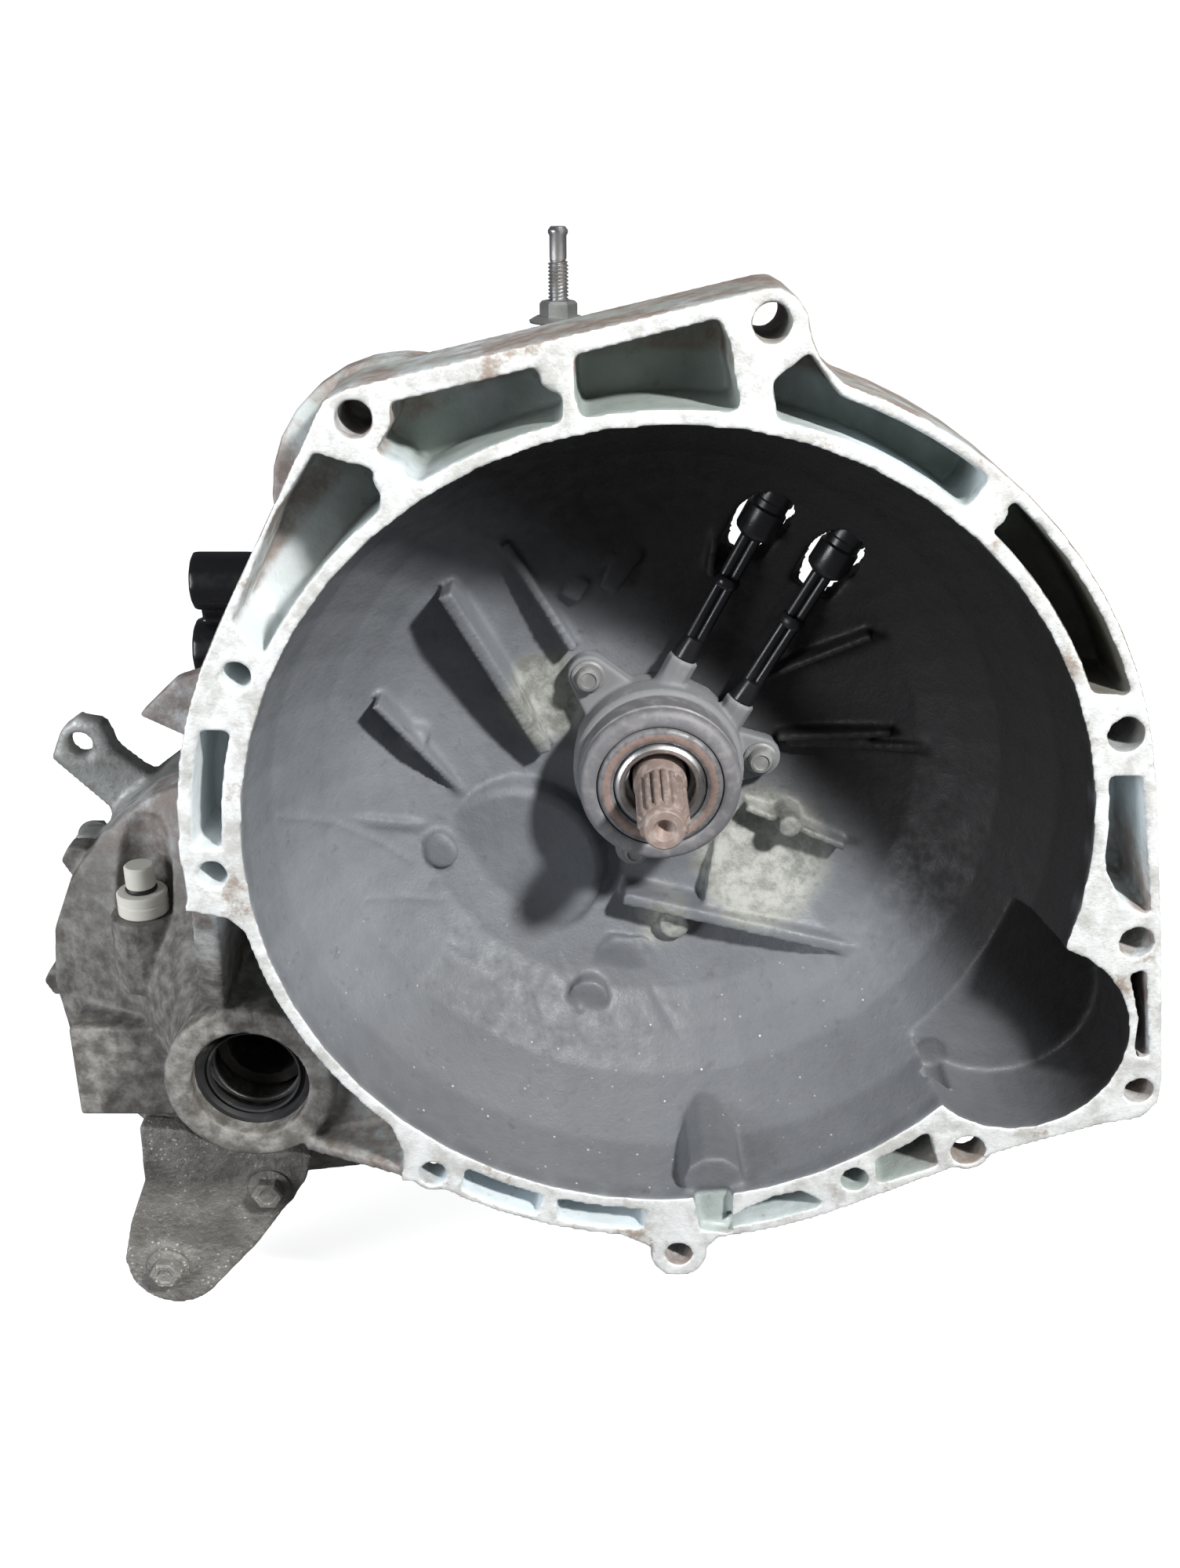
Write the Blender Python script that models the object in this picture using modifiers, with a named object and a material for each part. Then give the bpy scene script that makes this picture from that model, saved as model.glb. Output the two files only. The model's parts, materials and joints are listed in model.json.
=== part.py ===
"""Five-speed transverse manual transmission with its differential, as separate pieces.

Blender units are metres.  Every size below is in millimetres and passes through MM.
The origin is on the input shaft's axis, in the plane of the face that bolts to the engine.
+Y runs from the engine into the gearbox, +Z is up and +X is to the right seen from the engine.
A station is a distance along Y.  A piece that turns sits in the frame of its own shaft axis.
"""

import math

import bmesh
import bpy
from mathutils import Matrix, Vector

MM = 0.001
GAP = 0.3  # between pieces that rest on each other
FLAT_ANGLE = 3.0  # degrees: faces that differ by less are merged after the Booleans

# Shaft axes, as (x, z)
INPUT = (0.0, 0.0)
OUTPUT = (-61.0, -52.0)
DIFF = (-169.0, -121.0)
RAIL = (-109.0, 5.0)

# Clutch bell
OPENING_R = 155.0
RING_WALL_R = 160.5
FLANGE_DEPTH = 45.0
BACK_WALL = 102.0
BEARING_WALL_END = 120.0
JOINT = 135.0
STARTER = (138.0, -79.0)
STARTER_R = 41.0
SNOUT_FACE = 30.0
SNOUT_R = 36.0
SEAL_BORE_R = 24.6

# Gear case and end cover
CASE_R = {"input": 60.0, "output": 72.0, "diff": 107.2, "rail": 22.0}
WALL = 4.6
CASE_WALL_START = 296.0
CASE_END = 310.0
COVER_END = 377.0

# Tooth counts: driver on the input shaft, then the gear that it drives on the output shaft
GEAR_TEETH = {1: (11, 35), 2: (14, 30), 3: (18, 26), 4: (22, 23), 5: (25, 20)}
GEAR_STATIONS = {1: (172, 190), 2: (214, 230), 3: (236, 252), 4: (276, 290), 5: (316, 330)}
REVERSE_TEETH = (10, 12, 30)
REVERSE_MODULE = 3.35
REVERSE_STATIONS = (354, 366)
PINION_TEETH = 16
RING_TEETH = 54
FINAL_STATIONS = (140, 164)

# Synchronisers: name, hub start, hub end, hub radius, sleeve radius
SYNCHROS = (
    ("1_2", 195, 209, 36.0, 43.0),
    ("3_4", 257, 271, 33.0, 40.0),
    ("5_reverse", 335, 349, 25.0, 32.0),
)

# Bearings: inner and outer radius
INPUT_BEARING = (15.3, 31.0)
OUTPUT_BEARING = (15.3, 34.0)
DIFF_BEARING = (21.3, 36.0)
DIFF_CENTRE = 160.0
SEAT_STEPS = 24

# Hydraulic clutch release
RELEASE_FACE = 61.0
SLAVE_R = 35.0

# Selector shaft, along X above the fork rail
SELECTOR_Y = 165.0
SELECTOR_Z = 50.0

FLANGE_HOLES = (
    (-105.3, 156.9, 6.3), (29.9, 187.4, 6.4), (161.4, 46.8, 6.5), (176.5, -36.7, 6.4),
    (186.4, -102.5, 5.5), (122.5, -130.9, 6.8), (78.2, -145.1, 5.4), (8.5, -182.7, 5.5),
    (-91.1, -142.9, 5.6), (-167.1, -9.1, 5.6), (-151.5, 68.3, 5.4),
)
FLANGE_PADS = ((-38.8, 171.2), (-94.3, 137.2), (25.9, 164.6), (105.8, 126.1))
SLAVE_BOLTS = ((-29.0, 36.0), (43.0, 0.0), (-9.0, -42.0))
PIPES = (((8.0, 41.0), (38.7, 104.4)), ((31.4, 22.3), (68.0, 90.0)))
BRACKET_BOLTS = ((-176.5, -209.0), (-228.5, -255.0))
BRACKET_Y = (78.0, 88.0)
STUD = (-39.4, 60.0)
SENSOR = (-226.0, 100.0)


# ---------------------------------------------------------------- scene helpers

def clear_scene():
    for obj in list(bpy.data.objects):
        bpy.data.objects.remove(obj, do_unlink=True)


def new_collection(name):
    collection = bpy.data.collections.new(name)
    bpy.context.scene.collection.children.link(collection)
    return collection


clear_scene()
PARTS = new_collection("manual_transmission")
TOOLS = new_collection("cutters")
TOOLS.hide_render = True


def material(name, colour, roughness, metallic):
    made = bpy.data.materials.new(name)
    made.use_nodes = True
    shader = made.node_tree.nodes["Principled BSDF"]
    shader.inputs["Base Color"].default_value = (*colour, 1.0)
    shader.inputs["Roughness"].default_value = roughness
    shader.inputs["Metallic"].default_value = metallic
    return made


ALUMINIUM = material("cast_aluminium", (0.42, 0.43, 0.42), 0.55, 0.8)
STEEL = material("machined_steel", (0.52, 0.52, 0.53), 0.32, 1.0)
DARK_STEEL = material("dark_steel", (0.20, 0.19, 0.18), 0.45, 0.9)
RUSTY_STEEL = material("rusty_steel", (0.33, 0.20, 0.14), 0.75, 0.5)
GREY_PLASTIC = material("grey_plastic", (0.09, 0.09, 0.10), 0.5, 0.0)
BLACK_PLASTIC = material("black_plastic", (0.02, 0.02, 0.022), 0.4, 0.0)
BLUE_PLASTIC = material("blue_plastic", (0.06, 0.20, 0.62), 0.4, 0.0)
CREAM_PLASTIC = material("cream_plastic", (0.82, 0.80, 0.70), 0.45, 0.0)
SEAL_RUBBER = material("seal_rubber", (0.03, 0.03, 0.03), 0.7, 0.0)


def axis_frame(name, centre):
    """An empty on a shaft axis.  Its local X is +X, its local Y is +Z and its local Z is -Y."""
    empty = bpy.data.objects.new(name, None)
    empty.location = Vector((centre[0], 0.0, centre[1])) * MM
    empty.rotation_euler = (math.pi / 2, 0.0, 0.0)
    PARTS.objects.link(empty)
    return empty


MAIN_AXIS = axis_frame("input_axis", INPUT)
OUTPUT_AXIS = axis_frame("output_axis", OUTPUT)
DIFF_AXIS = axis_frame("differential_axis", DIFF)
RAIL_AXIS = axis_frame("fork_rail_axis", RAIL)


def place(obj, paint, axis=None):
    """Links obj as a visible piece when it has a paint, and as a hidden cutter when it has none."""
    obj.parent = axis
    if paint is None:
        TOOLS.objects.link(obj)
        obj.hide_render = True
        obj.display_type = "WIRE"
        return obj
    PARTS.objects.link(obj)
    obj.data.materials.append(paint)
    obj.data.shade_smooth()
    obj.data.set_sharp_from_angle(angle=math.radians(35))
    return obj


# ---------------------------------------------------------------- outlines

def polar(radius, degrees, centre=(0.0, 0.0)):
    angle = math.radians(degrees)
    return (centre[0] + radius * math.cos(angle), centre[1] + radius * math.sin(angle))


def arc(radius, start, end, steps, centre=(0.0, 0.0)):
    span = end - start
    return [polar(radius, start + span * i / steps, centre) for i in range(steps + 1)]


def circle(radius, steps, centre=(0.0, 0.0), turn=0.0):
    return [polar(radius, turn + 360.0 * i / steps, centre) for i in range(steps)]


def direction(start, end):
    return math.degrees(math.atan2(end[1] - start[1], end[0] - start[0]))


def distance(start, end):
    return math.hypot(end[0] - start[0], end[1] - start[1])


def belt(first, first_r, second, second_r, steps=7):
    """The outline of two circles and the straight tangents round them."""
    heading = direction(first, second)
    lean = math.degrees(math.acos((first_r - second_r) / distance(first, second)))
    near = arc(first_r, heading + lean, heading + 360 - lean, steps, first)
    far = arc(second_r, heading - lean, heading + lean, steps, second)
    return near + far


def tooth_outline(teeth, module, phase, tip=0.62, root=1.5, land=0.08):
    """Straight-sided teeth with deep roots, which leaves backlash.  A tooth's middle is at phase."""
    pitch_r = module * teeth / 2
    step = 360.0 / teeth
    points = []
    for i in range(teeth):
        middle = phase + step * i
        points.append(polar(pitch_r - root * module, middle - 0.5 * step))
        points.append(polar(pitch_r + tip * module, middle - land * step))
        points.append(polar(pitch_r + tip * module, middle + land * step))
    return points


def meshing_phase(heading, teeth):
    """The phase that puts a gap of the driven gear where the driver's tooth points along heading."""
    return heading + 180.0 + 180.0 / teeth


# ---------------------------------------------------------------- solids

def curve_object(name, loops, half_depth):
    curve = bpy.data.curves.new(name, "CURVE")
    curve.dimensions = "2D"
    curve.fill_mode = "BOTH"
    curve.extrude = half_depth * MM
    for loop in loops:
        spline = curve.splines.new("POLY")
        spline.points.add(len(loop) - 1)
        for point, (x, y) in zip(spline.points, loop):
            point.co = (x * MM, y * MM, 0.0, 1.0)
        spline.use_cyclic_u = True
    return bpy.data.objects.new(name, curve)


def mesh_of(obj):
    """The object's evaluated mesh, with its caps welded."""
    bpy.context.scene.collection.objects.link(obj)
    bpy.context.view_layer.update()
    graph = bpy.context.evaluated_depsgraph_get()
    mesh = bpy.data.meshes.new_from_object(obj.evaluated_get(graph))
    bpy.data.objects.remove(obj)
    cage = bmesh.new()
    cage.from_mesh(mesh)
    bmesh.ops.remove_doubles(cage, verts=cage.verts, dist=1e-6)
    bmesh.ops.recalc_face_normals(cage, faces=cage.faces)
    cage.to_mesh(mesh)
    cage.free()
    return mesh


def plate(name, loops, start, end, paint=None, axis=MAIN_AXIS):
    """A flat outline with holes, from one station to another, in the frame of a shaft axis."""
    mesh = mesh_of(curve_object(name, loops, (end - start) / 2))
    mesh.transform(Matrix.Translation((0.0, 0.0, -(start + end) / 2 * MM)))
    return place(bpy.data.objects.new(name, mesh), paint, axis)


def turned(name, profile, steps, paint=None, axis=MAIN_AXIS, centre=(0.0, 0.0)):
    """A turned piece.  The profile lists (radius, station), with stations rising down the outer side.

    A profile that starts and ends on the axis is a solid, and any other is a ring.
    """
    mesh = bpy.data.meshes.new(name)
    points = [(radius * MM, 0.0, -station * MM) for radius, station in profile]
    edges = [(i, i + 1) for i in range(len(points) - 1)]
    if profile[0][0] > 0.0:
        edges.append((len(points) - 1, 0))
    mesh.from_pydata(points, edges, [])
    obj = bpy.data.objects.new(name, mesh)
    obj.location = (centre[0] * MM, centre[1] * MM, 0.0)
    screw = obj.modifiers.new("turn", "SCREW")
    screw.steps = steps
    screw.render_steps = steps
    screw.use_merge_vertices = True
    screw.merge_threshold = 1e-6
    screw.use_smooth_shade = True
    return place(obj, paint, axis)


def ring(name, inner, outer, start, end, steps, paint=None, axis=MAIN_AXIS):
    profile = [(inner, start), (outer, start), (outer, end), (inner, end)]
    return turned(name, profile, steps, paint, axis)


def pin(name, start, end, radius, steps, paint=None, end_radius=None):
    """A cylinder or cone between two points given as (x, y, z)."""
    start = Vector(start) * MM
    end = Vector(end) * MM
    cage = bmesh.new()
    bmesh.ops.create_cone(
        cage, cap_ends=True, segments=steps, radius1=radius * MM,
        radius2=(radius if end_radius is None else end_radius) * MM, depth=(end - start).length,
    )
    mesh = bpy.data.meshes.new(name)
    cage.to_mesh(mesh)
    cage.free()
    turn = (end - start).to_track_quat("Z", "Y").to_matrix().to_4x4()
    mesh.transform(Matrix.Translation((start + end) / 2) @ turn)
    return place(bpy.data.objects.new(name, mesh), paint)


def box(name, low, high, paint=None):
    low = Vector(low) * MM
    high = Vector(high) * MM
    cage = bmesh.new()
    bmesh.ops.create_cube(cage, size=1.0)
    mesh = bpy.data.meshes.new(name)
    cage.to_mesh(mesh)
    cage.free()
    mesh.transform(Matrix.Translation((low + high) / 2) @ Matrix.Diagonal((*(high - low), 1.0)))
    return place(bpy.data.objects.new(name, mesh), paint)


def rib(name, start, end, profile, width, paint=None):
    """A web that stands on the line from start to end in the XZ plane.

    The profile lists (distance along the line, station).
    """
    mesh = mesh_of(curve_object(name, [profile], width / 2))
    along = Vector((end[0] - start[0], 0.0, end[1] - start[1])).normalized()
    depth = Vector((0.0, 1.0, 0.0))
    turn = Matrix((along, depth, along.cross(depth))).transposed().to_4x4()
    mesh.transform(Matrix.Translation(Vector((start[0], 0.0, start[1])) * MM) @ turn)
    return place(bpy.data.objects.new(name, mesh), paint)


JOBS = []


def combine(target, operation, tools):
    """Notes the Booleans of a piece.  They are added together once every solid is there."""
    JOBS.extend((target, operation, tool) for tool in tools)


def join(target, *tools):
    combine(target, "UNION", tools)


def cut(target, *tools):
    combine(target, "DIFFERENCE", tools)


def add_booleans():
    """Adds the Booleans in order, then merges the flat slivers that they leave."""
    for target, operation, tool in JOBS:
        modifier = target.modifiers.new(tool.name, "BOOLEAN")
        modifier.operation = operation
        modifier.object = tool
    for target in {job[0].name: job[0] for job in JOBS}.values():
        flat = target.modifiers.new("merge_flat_faces", "DECIMATE")
        flat.decimate_type = "DISSOLVE"
        flat.angle_limit = math.radians(FLAT_ANGLE)


# ---------------------------------------------------------------- clutch bell

def flange_outline():
    lug = (8.5, -182.7)
    points = [(32.0, 198.5), (27.0, 198.0), (-107.0, 167.0), (-115.0, 163.0), (-121.0, 152.0)]
    points += [(-133.0, 130.0), (-149.0, 100.0)]
    points += arc(178.5, 151, 186, 6)
    points += [(-179.0, -24.0), (-163.0, -27.5)]
    points += arc(RING_WALL_R, 192, 228, 9)
    points += [(-102.5, -133.0), (-104.0, -146.0)]
    points += arc(174.0, -122, -95, 5)
    points += arc(11.7, 165, 375, 8, lug)
    points += arc(176.0, -82, -62, 4)
    points += [(97.0, -149.0), (112.0, -142.0), (130.0, -133.5), (172.0, -119.0), (189.0, -115.5)]
    points += [(195.0, -108.0), (195.0, -98.0), (191.0, -70.0), (186.0, -36.0), (180.0, -3.0)]
    points += [(175.0, 28.0)]
    points += arc(177.0, 14, 72, 12)
    points += [(46.5, 175.5), (43.0, 183.0), (41.5, 190.0), (37.5, 195.5)]
    return points


def flange_pockets():
    """The open pockets between the ring wall and the outer wall, each as one outline."""
    wall = RING_WALL_R
    return [
        [(-93, 162), (-42, 174), (-37, 163), (-38, 155)] + arc(wall, 104, 122, 4)
        + [(-90, 139), (-98, 147), (-93, 155)],
        [(-33, 177), (13, 188.5), (17, 180), (18, 172), (20, 165), (20.5, 160)]
        + arc(wall, 84.5, 101, 4) + [(-32.5, 164)],
        [(42.5, 178)] + arc(172.5, 72, 53, 5) + [(99.5, 131)] + arc(wall, 53, 78, 6)
        + [(31, 169)],
        arc(172.5, 49, 21, 6) + arc(wall, 23, 49, 6),
        [(158, 31), (169, 31), (174, 3), (180, -25), (169, -20), (161.5, -7)]
        + arc(wall, 0, 11, 3),
        [(176, -50), (181.5, -49), (188, -88), (183, -86), (182, -69)],
        [(99, -128), (106, -122), (111, -138), (88, -147), (86, -136)],
        [(46, -154), (57, -151), (67, -157)] + arc(171, -69, -82, 3) + [(35, -160)],
        arc(170.5, -107, -118, 3) + arc(wall, -119, -107, 3),
        arc(170, -92, -104, 3) + arc(wall, -105, -92, 3),
        arc(173, 179.5, 164, 4) + arc(162.5, 163, 179.5, 4),
        [(-119, 146), (-134, 124), (-151, 88), (-142, 76)] + arc(wall, 152, 128, 6)
        + [(-97, 135), (-101, 141), (-110, 143)],
    ]


def bowl_profile(front, offset):
    """The bell's bowl as (radius, station), moved outwards by offset."""
    wall = [(150.0, 30.0), (135.0, 60.0), (122.0, 75.0), (108.0, 86.0), (72.0, 99.0)]
    points = [(0.0, front), (OPENING_R + offset, front), (OPENING_R + offset, 8.0)]
    points += [(radius + offset, station + 0.6 * offset) for radius, station in wall]
    return points + [(60.0 + offset, BACK_WALL + 0.6 * offset), (0.0, BACK_WALL + 0.6 * offset)]


def diff_snout_outer():
    return [
        (0, SNOUT_FACE), (SNOUT_R - 1.5, SNOUT_FACE), (SNOUT_R, SNOUT_FACE + 1.5), (SNOUT_R, 46),
        (41, 64), (62, 94), (CASE_R["diff"], 114), (CASE_R["diff"], JOINT), (0, JOINT),
    ]


def diff_snout_inner():
    seat_r = DIFF_BEARING[1] + GAP
    return [
        (0, SNOUT_FACE - 1), (SEAL_BORE_R, SNOUT_FACE - 1), (SEAL_BORE_R, 105.7), (seat_r, 105.7),
        (seat_r, 123), (60, 124), (CASE_R["diff"] - WALL, 132),
        (CASE_R["diff"] - WALL, JOINT + 1), (0, JOINT + 1),
    ]


def joint_lugs():
    """Centres of the bolt lugs round the joint between the bell and the gear case."""
    lugs = [polar(CASE_R["diff"] + 1, angle, DIFF) for angle in (148, 183, 240, 300)]
    lugs += [polar(CASE_R["output"] + 4, -80, OUTPUT), polar(CASE_R["input"] + 4, -20, INPUT)]
    lugs += [polar(CASE_R["input"] + 4, 75, INPUT), polar(CASE_R["rail"] + 4, 120, RAIL)]
    return lugs


def case_walls(name, grow, start, end):
    """The three overlapping outlines that the bell's rear, the gear case and the cover share."""
    main = belt(INPUT, CASE_R["input"] + grow, OUTPUT, CASE_R["output"] + grow)
    bulge = circle(CASE_R["rail"] + grow, 12, RAIL)
    return [plate(name + "_main", [main], start, end), plate(name + "_rail", [bulge], start, end)]


def lug_ring(name, start, end):
    return [
        plate(f"{name}_{i}", [circle(8.0, 6, centre)], start, end)
        for i, centre in enumerate(joint_lugs())
    ]


def bell_outside(bell):
    starter_wall = plate("starter_wall", [circle(STARTER_R + 6, 24, STARTER)], 2, 50)
    join(bell, turned("bowl_outer", bowl_profile(2.0, 6.0), 32), starter_wall)
    join(bell, turned("snout_outer", diff_snout_outer(), 24, axis=DIFF_AXIS))
    join(bell, *case_walls("bell_rear", 0.0, 96.0, JOINT))
    join(bell, *lug_ring("bell_lug", JOINT - 12, JOINT - GAP))
    stud_boss = pin("stud_boss", (STUD[0], STUD[1], 120), (STUD[0], STUD[1], 177), 12, 12)
    join(bell, stud_boss, plate("corner_dome", [circle(50, 28, (-93, 121))], 44, 60))
    join(bell, box("snout_block", (-262, 84, -174), (-198, 128, -128)))
    sensor_boss = pin("sensor_boss", (SENSOR[0], SENSOR[1], -112), (*SENSOR, -77), 15, 14)
    bracket_post = pin(
        "bracket_post", (BRACKET_BOLTS[0][0], BRACKET_Y[1] + GAP, BRACKET_BOLTS[0][1]),
        (BRACKET_BOLTS[0][0], 118, BRACKET_BOLTS[0][1]), 13, 12,
    )
    hidden_post = pin("hidden_post", (-225, BRACKET_Y[1] + GAP, -182), (-225, 118, -182), 11, 10)
    join(bell, sensor_boss, bracket_post, hidden_post)
    fin = [(-120, -20), (-125, 25), (-165, 40), (-205, 27), (-222, 11), (-205, 2), (-160, -20)]
    join(bell, plate("rear_fin", [fin], 112, 122))
    web = [(0, 2), (68, 31), (68, 100), (0, 60)]
    join(bell, rib("snout_web_top", (-171.5, -17), (-181, -85), web, 11))
    lower_web = [(0, 31), (47, 1), (47, 60), (0, 90)]
    join(bell, rib("snout_web_low", (-148, -152), (-103, -143.5), lower_web, 5))
    floor = [(-150, -104), (-122, -112), (-108, -124), (-104, -143), (-146, -151)]
    join(bell, plate("snout_floor", [floor], 37, 74))


def bell_cavities(bell):
    cut(bell, turned("bowl_inner", bowl_profile(-2.0, 0.0), 44))
    cut(bell, plate("starter_pocket", [circle(STARTER_R, 24, STARTER)], -2, 40))
    cut(bell, plate("flange_pocket_set", flange_pockets(), -2, 39))
    holes = [circle(radius, 10, (x, z)) for x, z, radius in FLANGE_HOLES]
    cut(bell, plate("flange_hole_set", holes, -2, 60))
    cut(bell, turned("snout_inner", diff_snout_inner(), SEAT_STEPS, axis=DIFF_AXIS))
    cut(bell, *case_walls("bell_rear_cavity", -WALL, BEARING_WALL_END, JOINT + 1))
    input_seat = [(0, 90), (17, 90), (17, 107.7), (31.3, 107.7), (31.3, 121), (0, 121)]
    cut(bell, turned("input_seat", input_seat, SEAT_STEPS))
    seat = [(0, 107.7), (34.3, 107.7), (34.3, 121), (0, 121)]
    cut(bell, turned("output_seat", seat, SEAT_STEPS, axis=OUTPUT_AXIS))
    cut(bell, turned("rail_seat", [(0, 112), (7.3, 112), (7.3, 121), (0, 121)], 12, axis=RAIL_AXIS))
    stud_hole = pin("stud_hole", (STUD[0], STUD[1], 150), (STUD[0], STUD[1], 178), 3.7, 10)
    cut(bell, pin("sensor_spot_face", (*SENSOR, -77), (*SENSOR, -35), 14.5, 14))
    sensor_hole = pin("sensor_hole", (*SENSOR, -98), (*SENSOR, -76), 7.3, 12)
    starter_hole = pin("starter_hole", (113, 19, -111), (113, 46, -111), 7, 12)
    cut(bell, stud_hole, sensor_hole, starter_hole)
    bolts = [pin(f"slave_thread_{i}", (x, 95, z), (x, 114.5, z), 3.9, 6)
             for i, (x, z) in enumerate(SLAVE_BOLTS)]
    ports = [pin(f"pipe_port_{i}", pipe_point(pipe, 0.75), pipe_point(pipe, 1.45), 10.5, 14)
             for i, pipe in enumerate(PIPES)]
    cut(bell, *bolts, *ports)
    x, z = BRACKET_BOLTS[0]
    bracket_thread = pin("bracket_thread", (x, BRACKET_Y[1] - 2, z), (x, 108, z), 4.8, 8)
    cut(bell, bracket_thread)


def bell_inside(bell):
    """Raised bosses and webs on the back wall of the clutch space."""
    plateau = [(0, 92), (35, 92), (38, 94), (42, 105.4), (0, 105.4)]
    join(bell, turned("output_plateau", plateau, 28, axis=OUTPUT_AXIS))
    bosses = (
        ("dowel_boss", (-15, -96), 11.5, 89, 108), ("ball_boss", (8.5, -78), 7, 89, 106),
        ("low_boss", (-29, -109), 9, 79, 100), ("left_boss", (-92.7, -37.5), 6, 85, 102),
        ("drain_tube", (22, -150), 12.5, 4, 66),
    )
    for name, centre, radius, start, end in bosses:
        join(bell, plate(name, [circle(radius, 10, centre)], start, end))
    # The broad wedge under the release bearing leans from its lower edge back to the wall.
    wedge = [(0, 85), (0, 107), (110, 107), (110, 76)]
    join(bell, rib("lower_ledge", (-14, -63), (92, -85), wedge, 6))
    face = [(0, 86), (34, 101), (34, 104.6), (0, 104.6)]
    join(bell, rib("ledge_slope", (46, -74), (52, -40), face, 52))
    webs = (
        ("big_gusset", (-47, 2), (-84, 80), [(0, 92), (86, 60), (86, 100), (0, 106)], 6),
        ("thin_gusset", (-35, 47), (-62, 96), [(0, 92), (55, 78), (55, 100), (0, 106)], 4),
        ("left_web", (-92, -33), (-137, -14), [(0, 92), (48, 62), (48, 90), (0, 106)], 4),
        ("low_web", (-70, -88), (-79, -118), [(0, 92), (31, 62), (31, 90), (0, 106)], 4),
        ("right_web", (54, 5), (112, 8), [(0, 97), (58, 82), (58, 100), (0, 106)], 4),
        ("tube_web", (-8, -104), (20, -142), [(0, 90), (47, 58), (47, 90), (0, 106)], 9),
    )
    for name, start, end, profile, width in webs:
        join(bell, rib(name, start, end, profile, width))


def make_bell_housing():
    bell = plate("bell_housing", [flange_outline()], 0, FLANGE_DEPTH, ALUMINIUM)
    bell_outside(bell)
    bell_cavities(bell)
    pads = [circle(6.0, 10, centre) for centre in FLANGE_PADS]
    join(bell, plate("flange_pad_set", pads, 0.2, 42))
    bell_inside(bell)
    cut(bell, plate("drain_groove", [[(14, -152), (29, -152), (30, -172), (17, -170)]], -2, 5))


# ---------------------------------------------------------------- gear case and end cover

def case_diff_outer():
    return [
        (0, JOINT + GAP), (CASE_R["diff"], JOINT + GAP), (CASE_R["diff"], 173), (72, 187),
        (46, 200), (42, 203), (42, 234), (0, 234),
    ]


def case_diff_inner():
    seat_r = DIFF_BEARING[1] + GAP
    open_r = CASE_R["diff"] - WALL
    return [
        (0, JOINT - 1), (open_r, JOINT - 1), (open_r, 169), (68, 182), (41, 196), (seat_r, 199.7),
        (seat_r, 216.3), (SEAL_BORE_R, 216.6), (SEAL_BORE_R, 235), (0, 235),
    ]


def make_gear_case():
    start = JOINT + GAP
    main = belt(INPUT, CASE_R["input"], OUTPUT, CASE_R["output"])
    case = plate("gear_case", [main], start, CASE_END, ALUMINIUM)
    rail_wall = plate("case_rail_wall", [circle(CASE_R["rail"], 16, RAIL)], start, CASE_END)
    join(case, rail_wall, turned("case_diff_wall", case_diff_outer(), 24, axis=DIFF_AXIS))
    join(case, *lug_ring("case_lug", start + GAP, start + 14))
    y, z = SELECTOR_Y, SELECTOR_Z
    turret = pin("selector_turret", (-60, y, z), (-130, y, z), 24, 20)
    join(case, turret, *cover_lugs("case_cover_lug", CASE_END - 14, CASE_END))
    ear = [(-276, -24), (-270, -10), (-262, -4), (-250, -7), (-246, -20), (-222, -40), (-240, -62)]
    join(case, plate("lifting_ear", [ear], 148, 160))
    for i, turn in enumerate((217, 235)):
        foot = polar(CASE_R["output"] - 2, turn, OUTPUT)
        head = polar(CASE_R["output"] + 7, turn, OUTPUT)
        join(case, rib(f"case_rib_{i}", foot, head, [(0, 205), (9, 205), (9, 306), (0, 306)], 5))
    cut(case, *case_walls("case_cavity", -WALL, JOINT - 1, CASE_WALL_START))
    cut(case, turned("case_diff_cavity", case_diff_inner(), SEAT_STEPS, axis=DIFF_AXIS))
    cut(case, turned("input_rear_seat", bearing_bore(31.3), SEAT_STEPS))
    cut(case, turned("output_rear_seat", bearing_bore(34.3), SEAT_STEPS, axis=OUTPUT_AXIS))
    cut(case, turned("rail_bore", [(0, 290), (7.3, 290), (7.3, 312), (0, 312)], 12, axis=RAIL_AXIS))
    bore = pin("selector_bore", (-131, y, z), (-84, y, z), 18, 18)
    window = box("selector_window", (-124, y - 16, 8), (-94, y + 16, z))
    cut(case, bore, window, pin("ear_hole", (-262, 140, -17), (-262, 170, -17), 6, 10))


def bearing_bore(radius):
    return [(0, CASE_WALL_START - 2), (radius, CASE_WALL_START - 2), (radius, 308), (18.5, 308.2),
            (18.5, 312), (0, 312)]


def cover_outline(grow):
    return belt(INPUT, 53.0 + grow, OUTPUT, 60.0 + grow)


def cover_lug_centres():
    lugs = [polar(57, angle, INPUT) for angle in (-20, 80)]
    return lugs + [polar(64, angle, OUTPUT) for angle in (170, 235, 295)]


def cover_lugs(name, start, end):
    return [plate(f"{name}_{i}", [circle(7.5, 6, centre)], start, end)
            for i, centre in enumerate(cover_lug_centres())]


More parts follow.
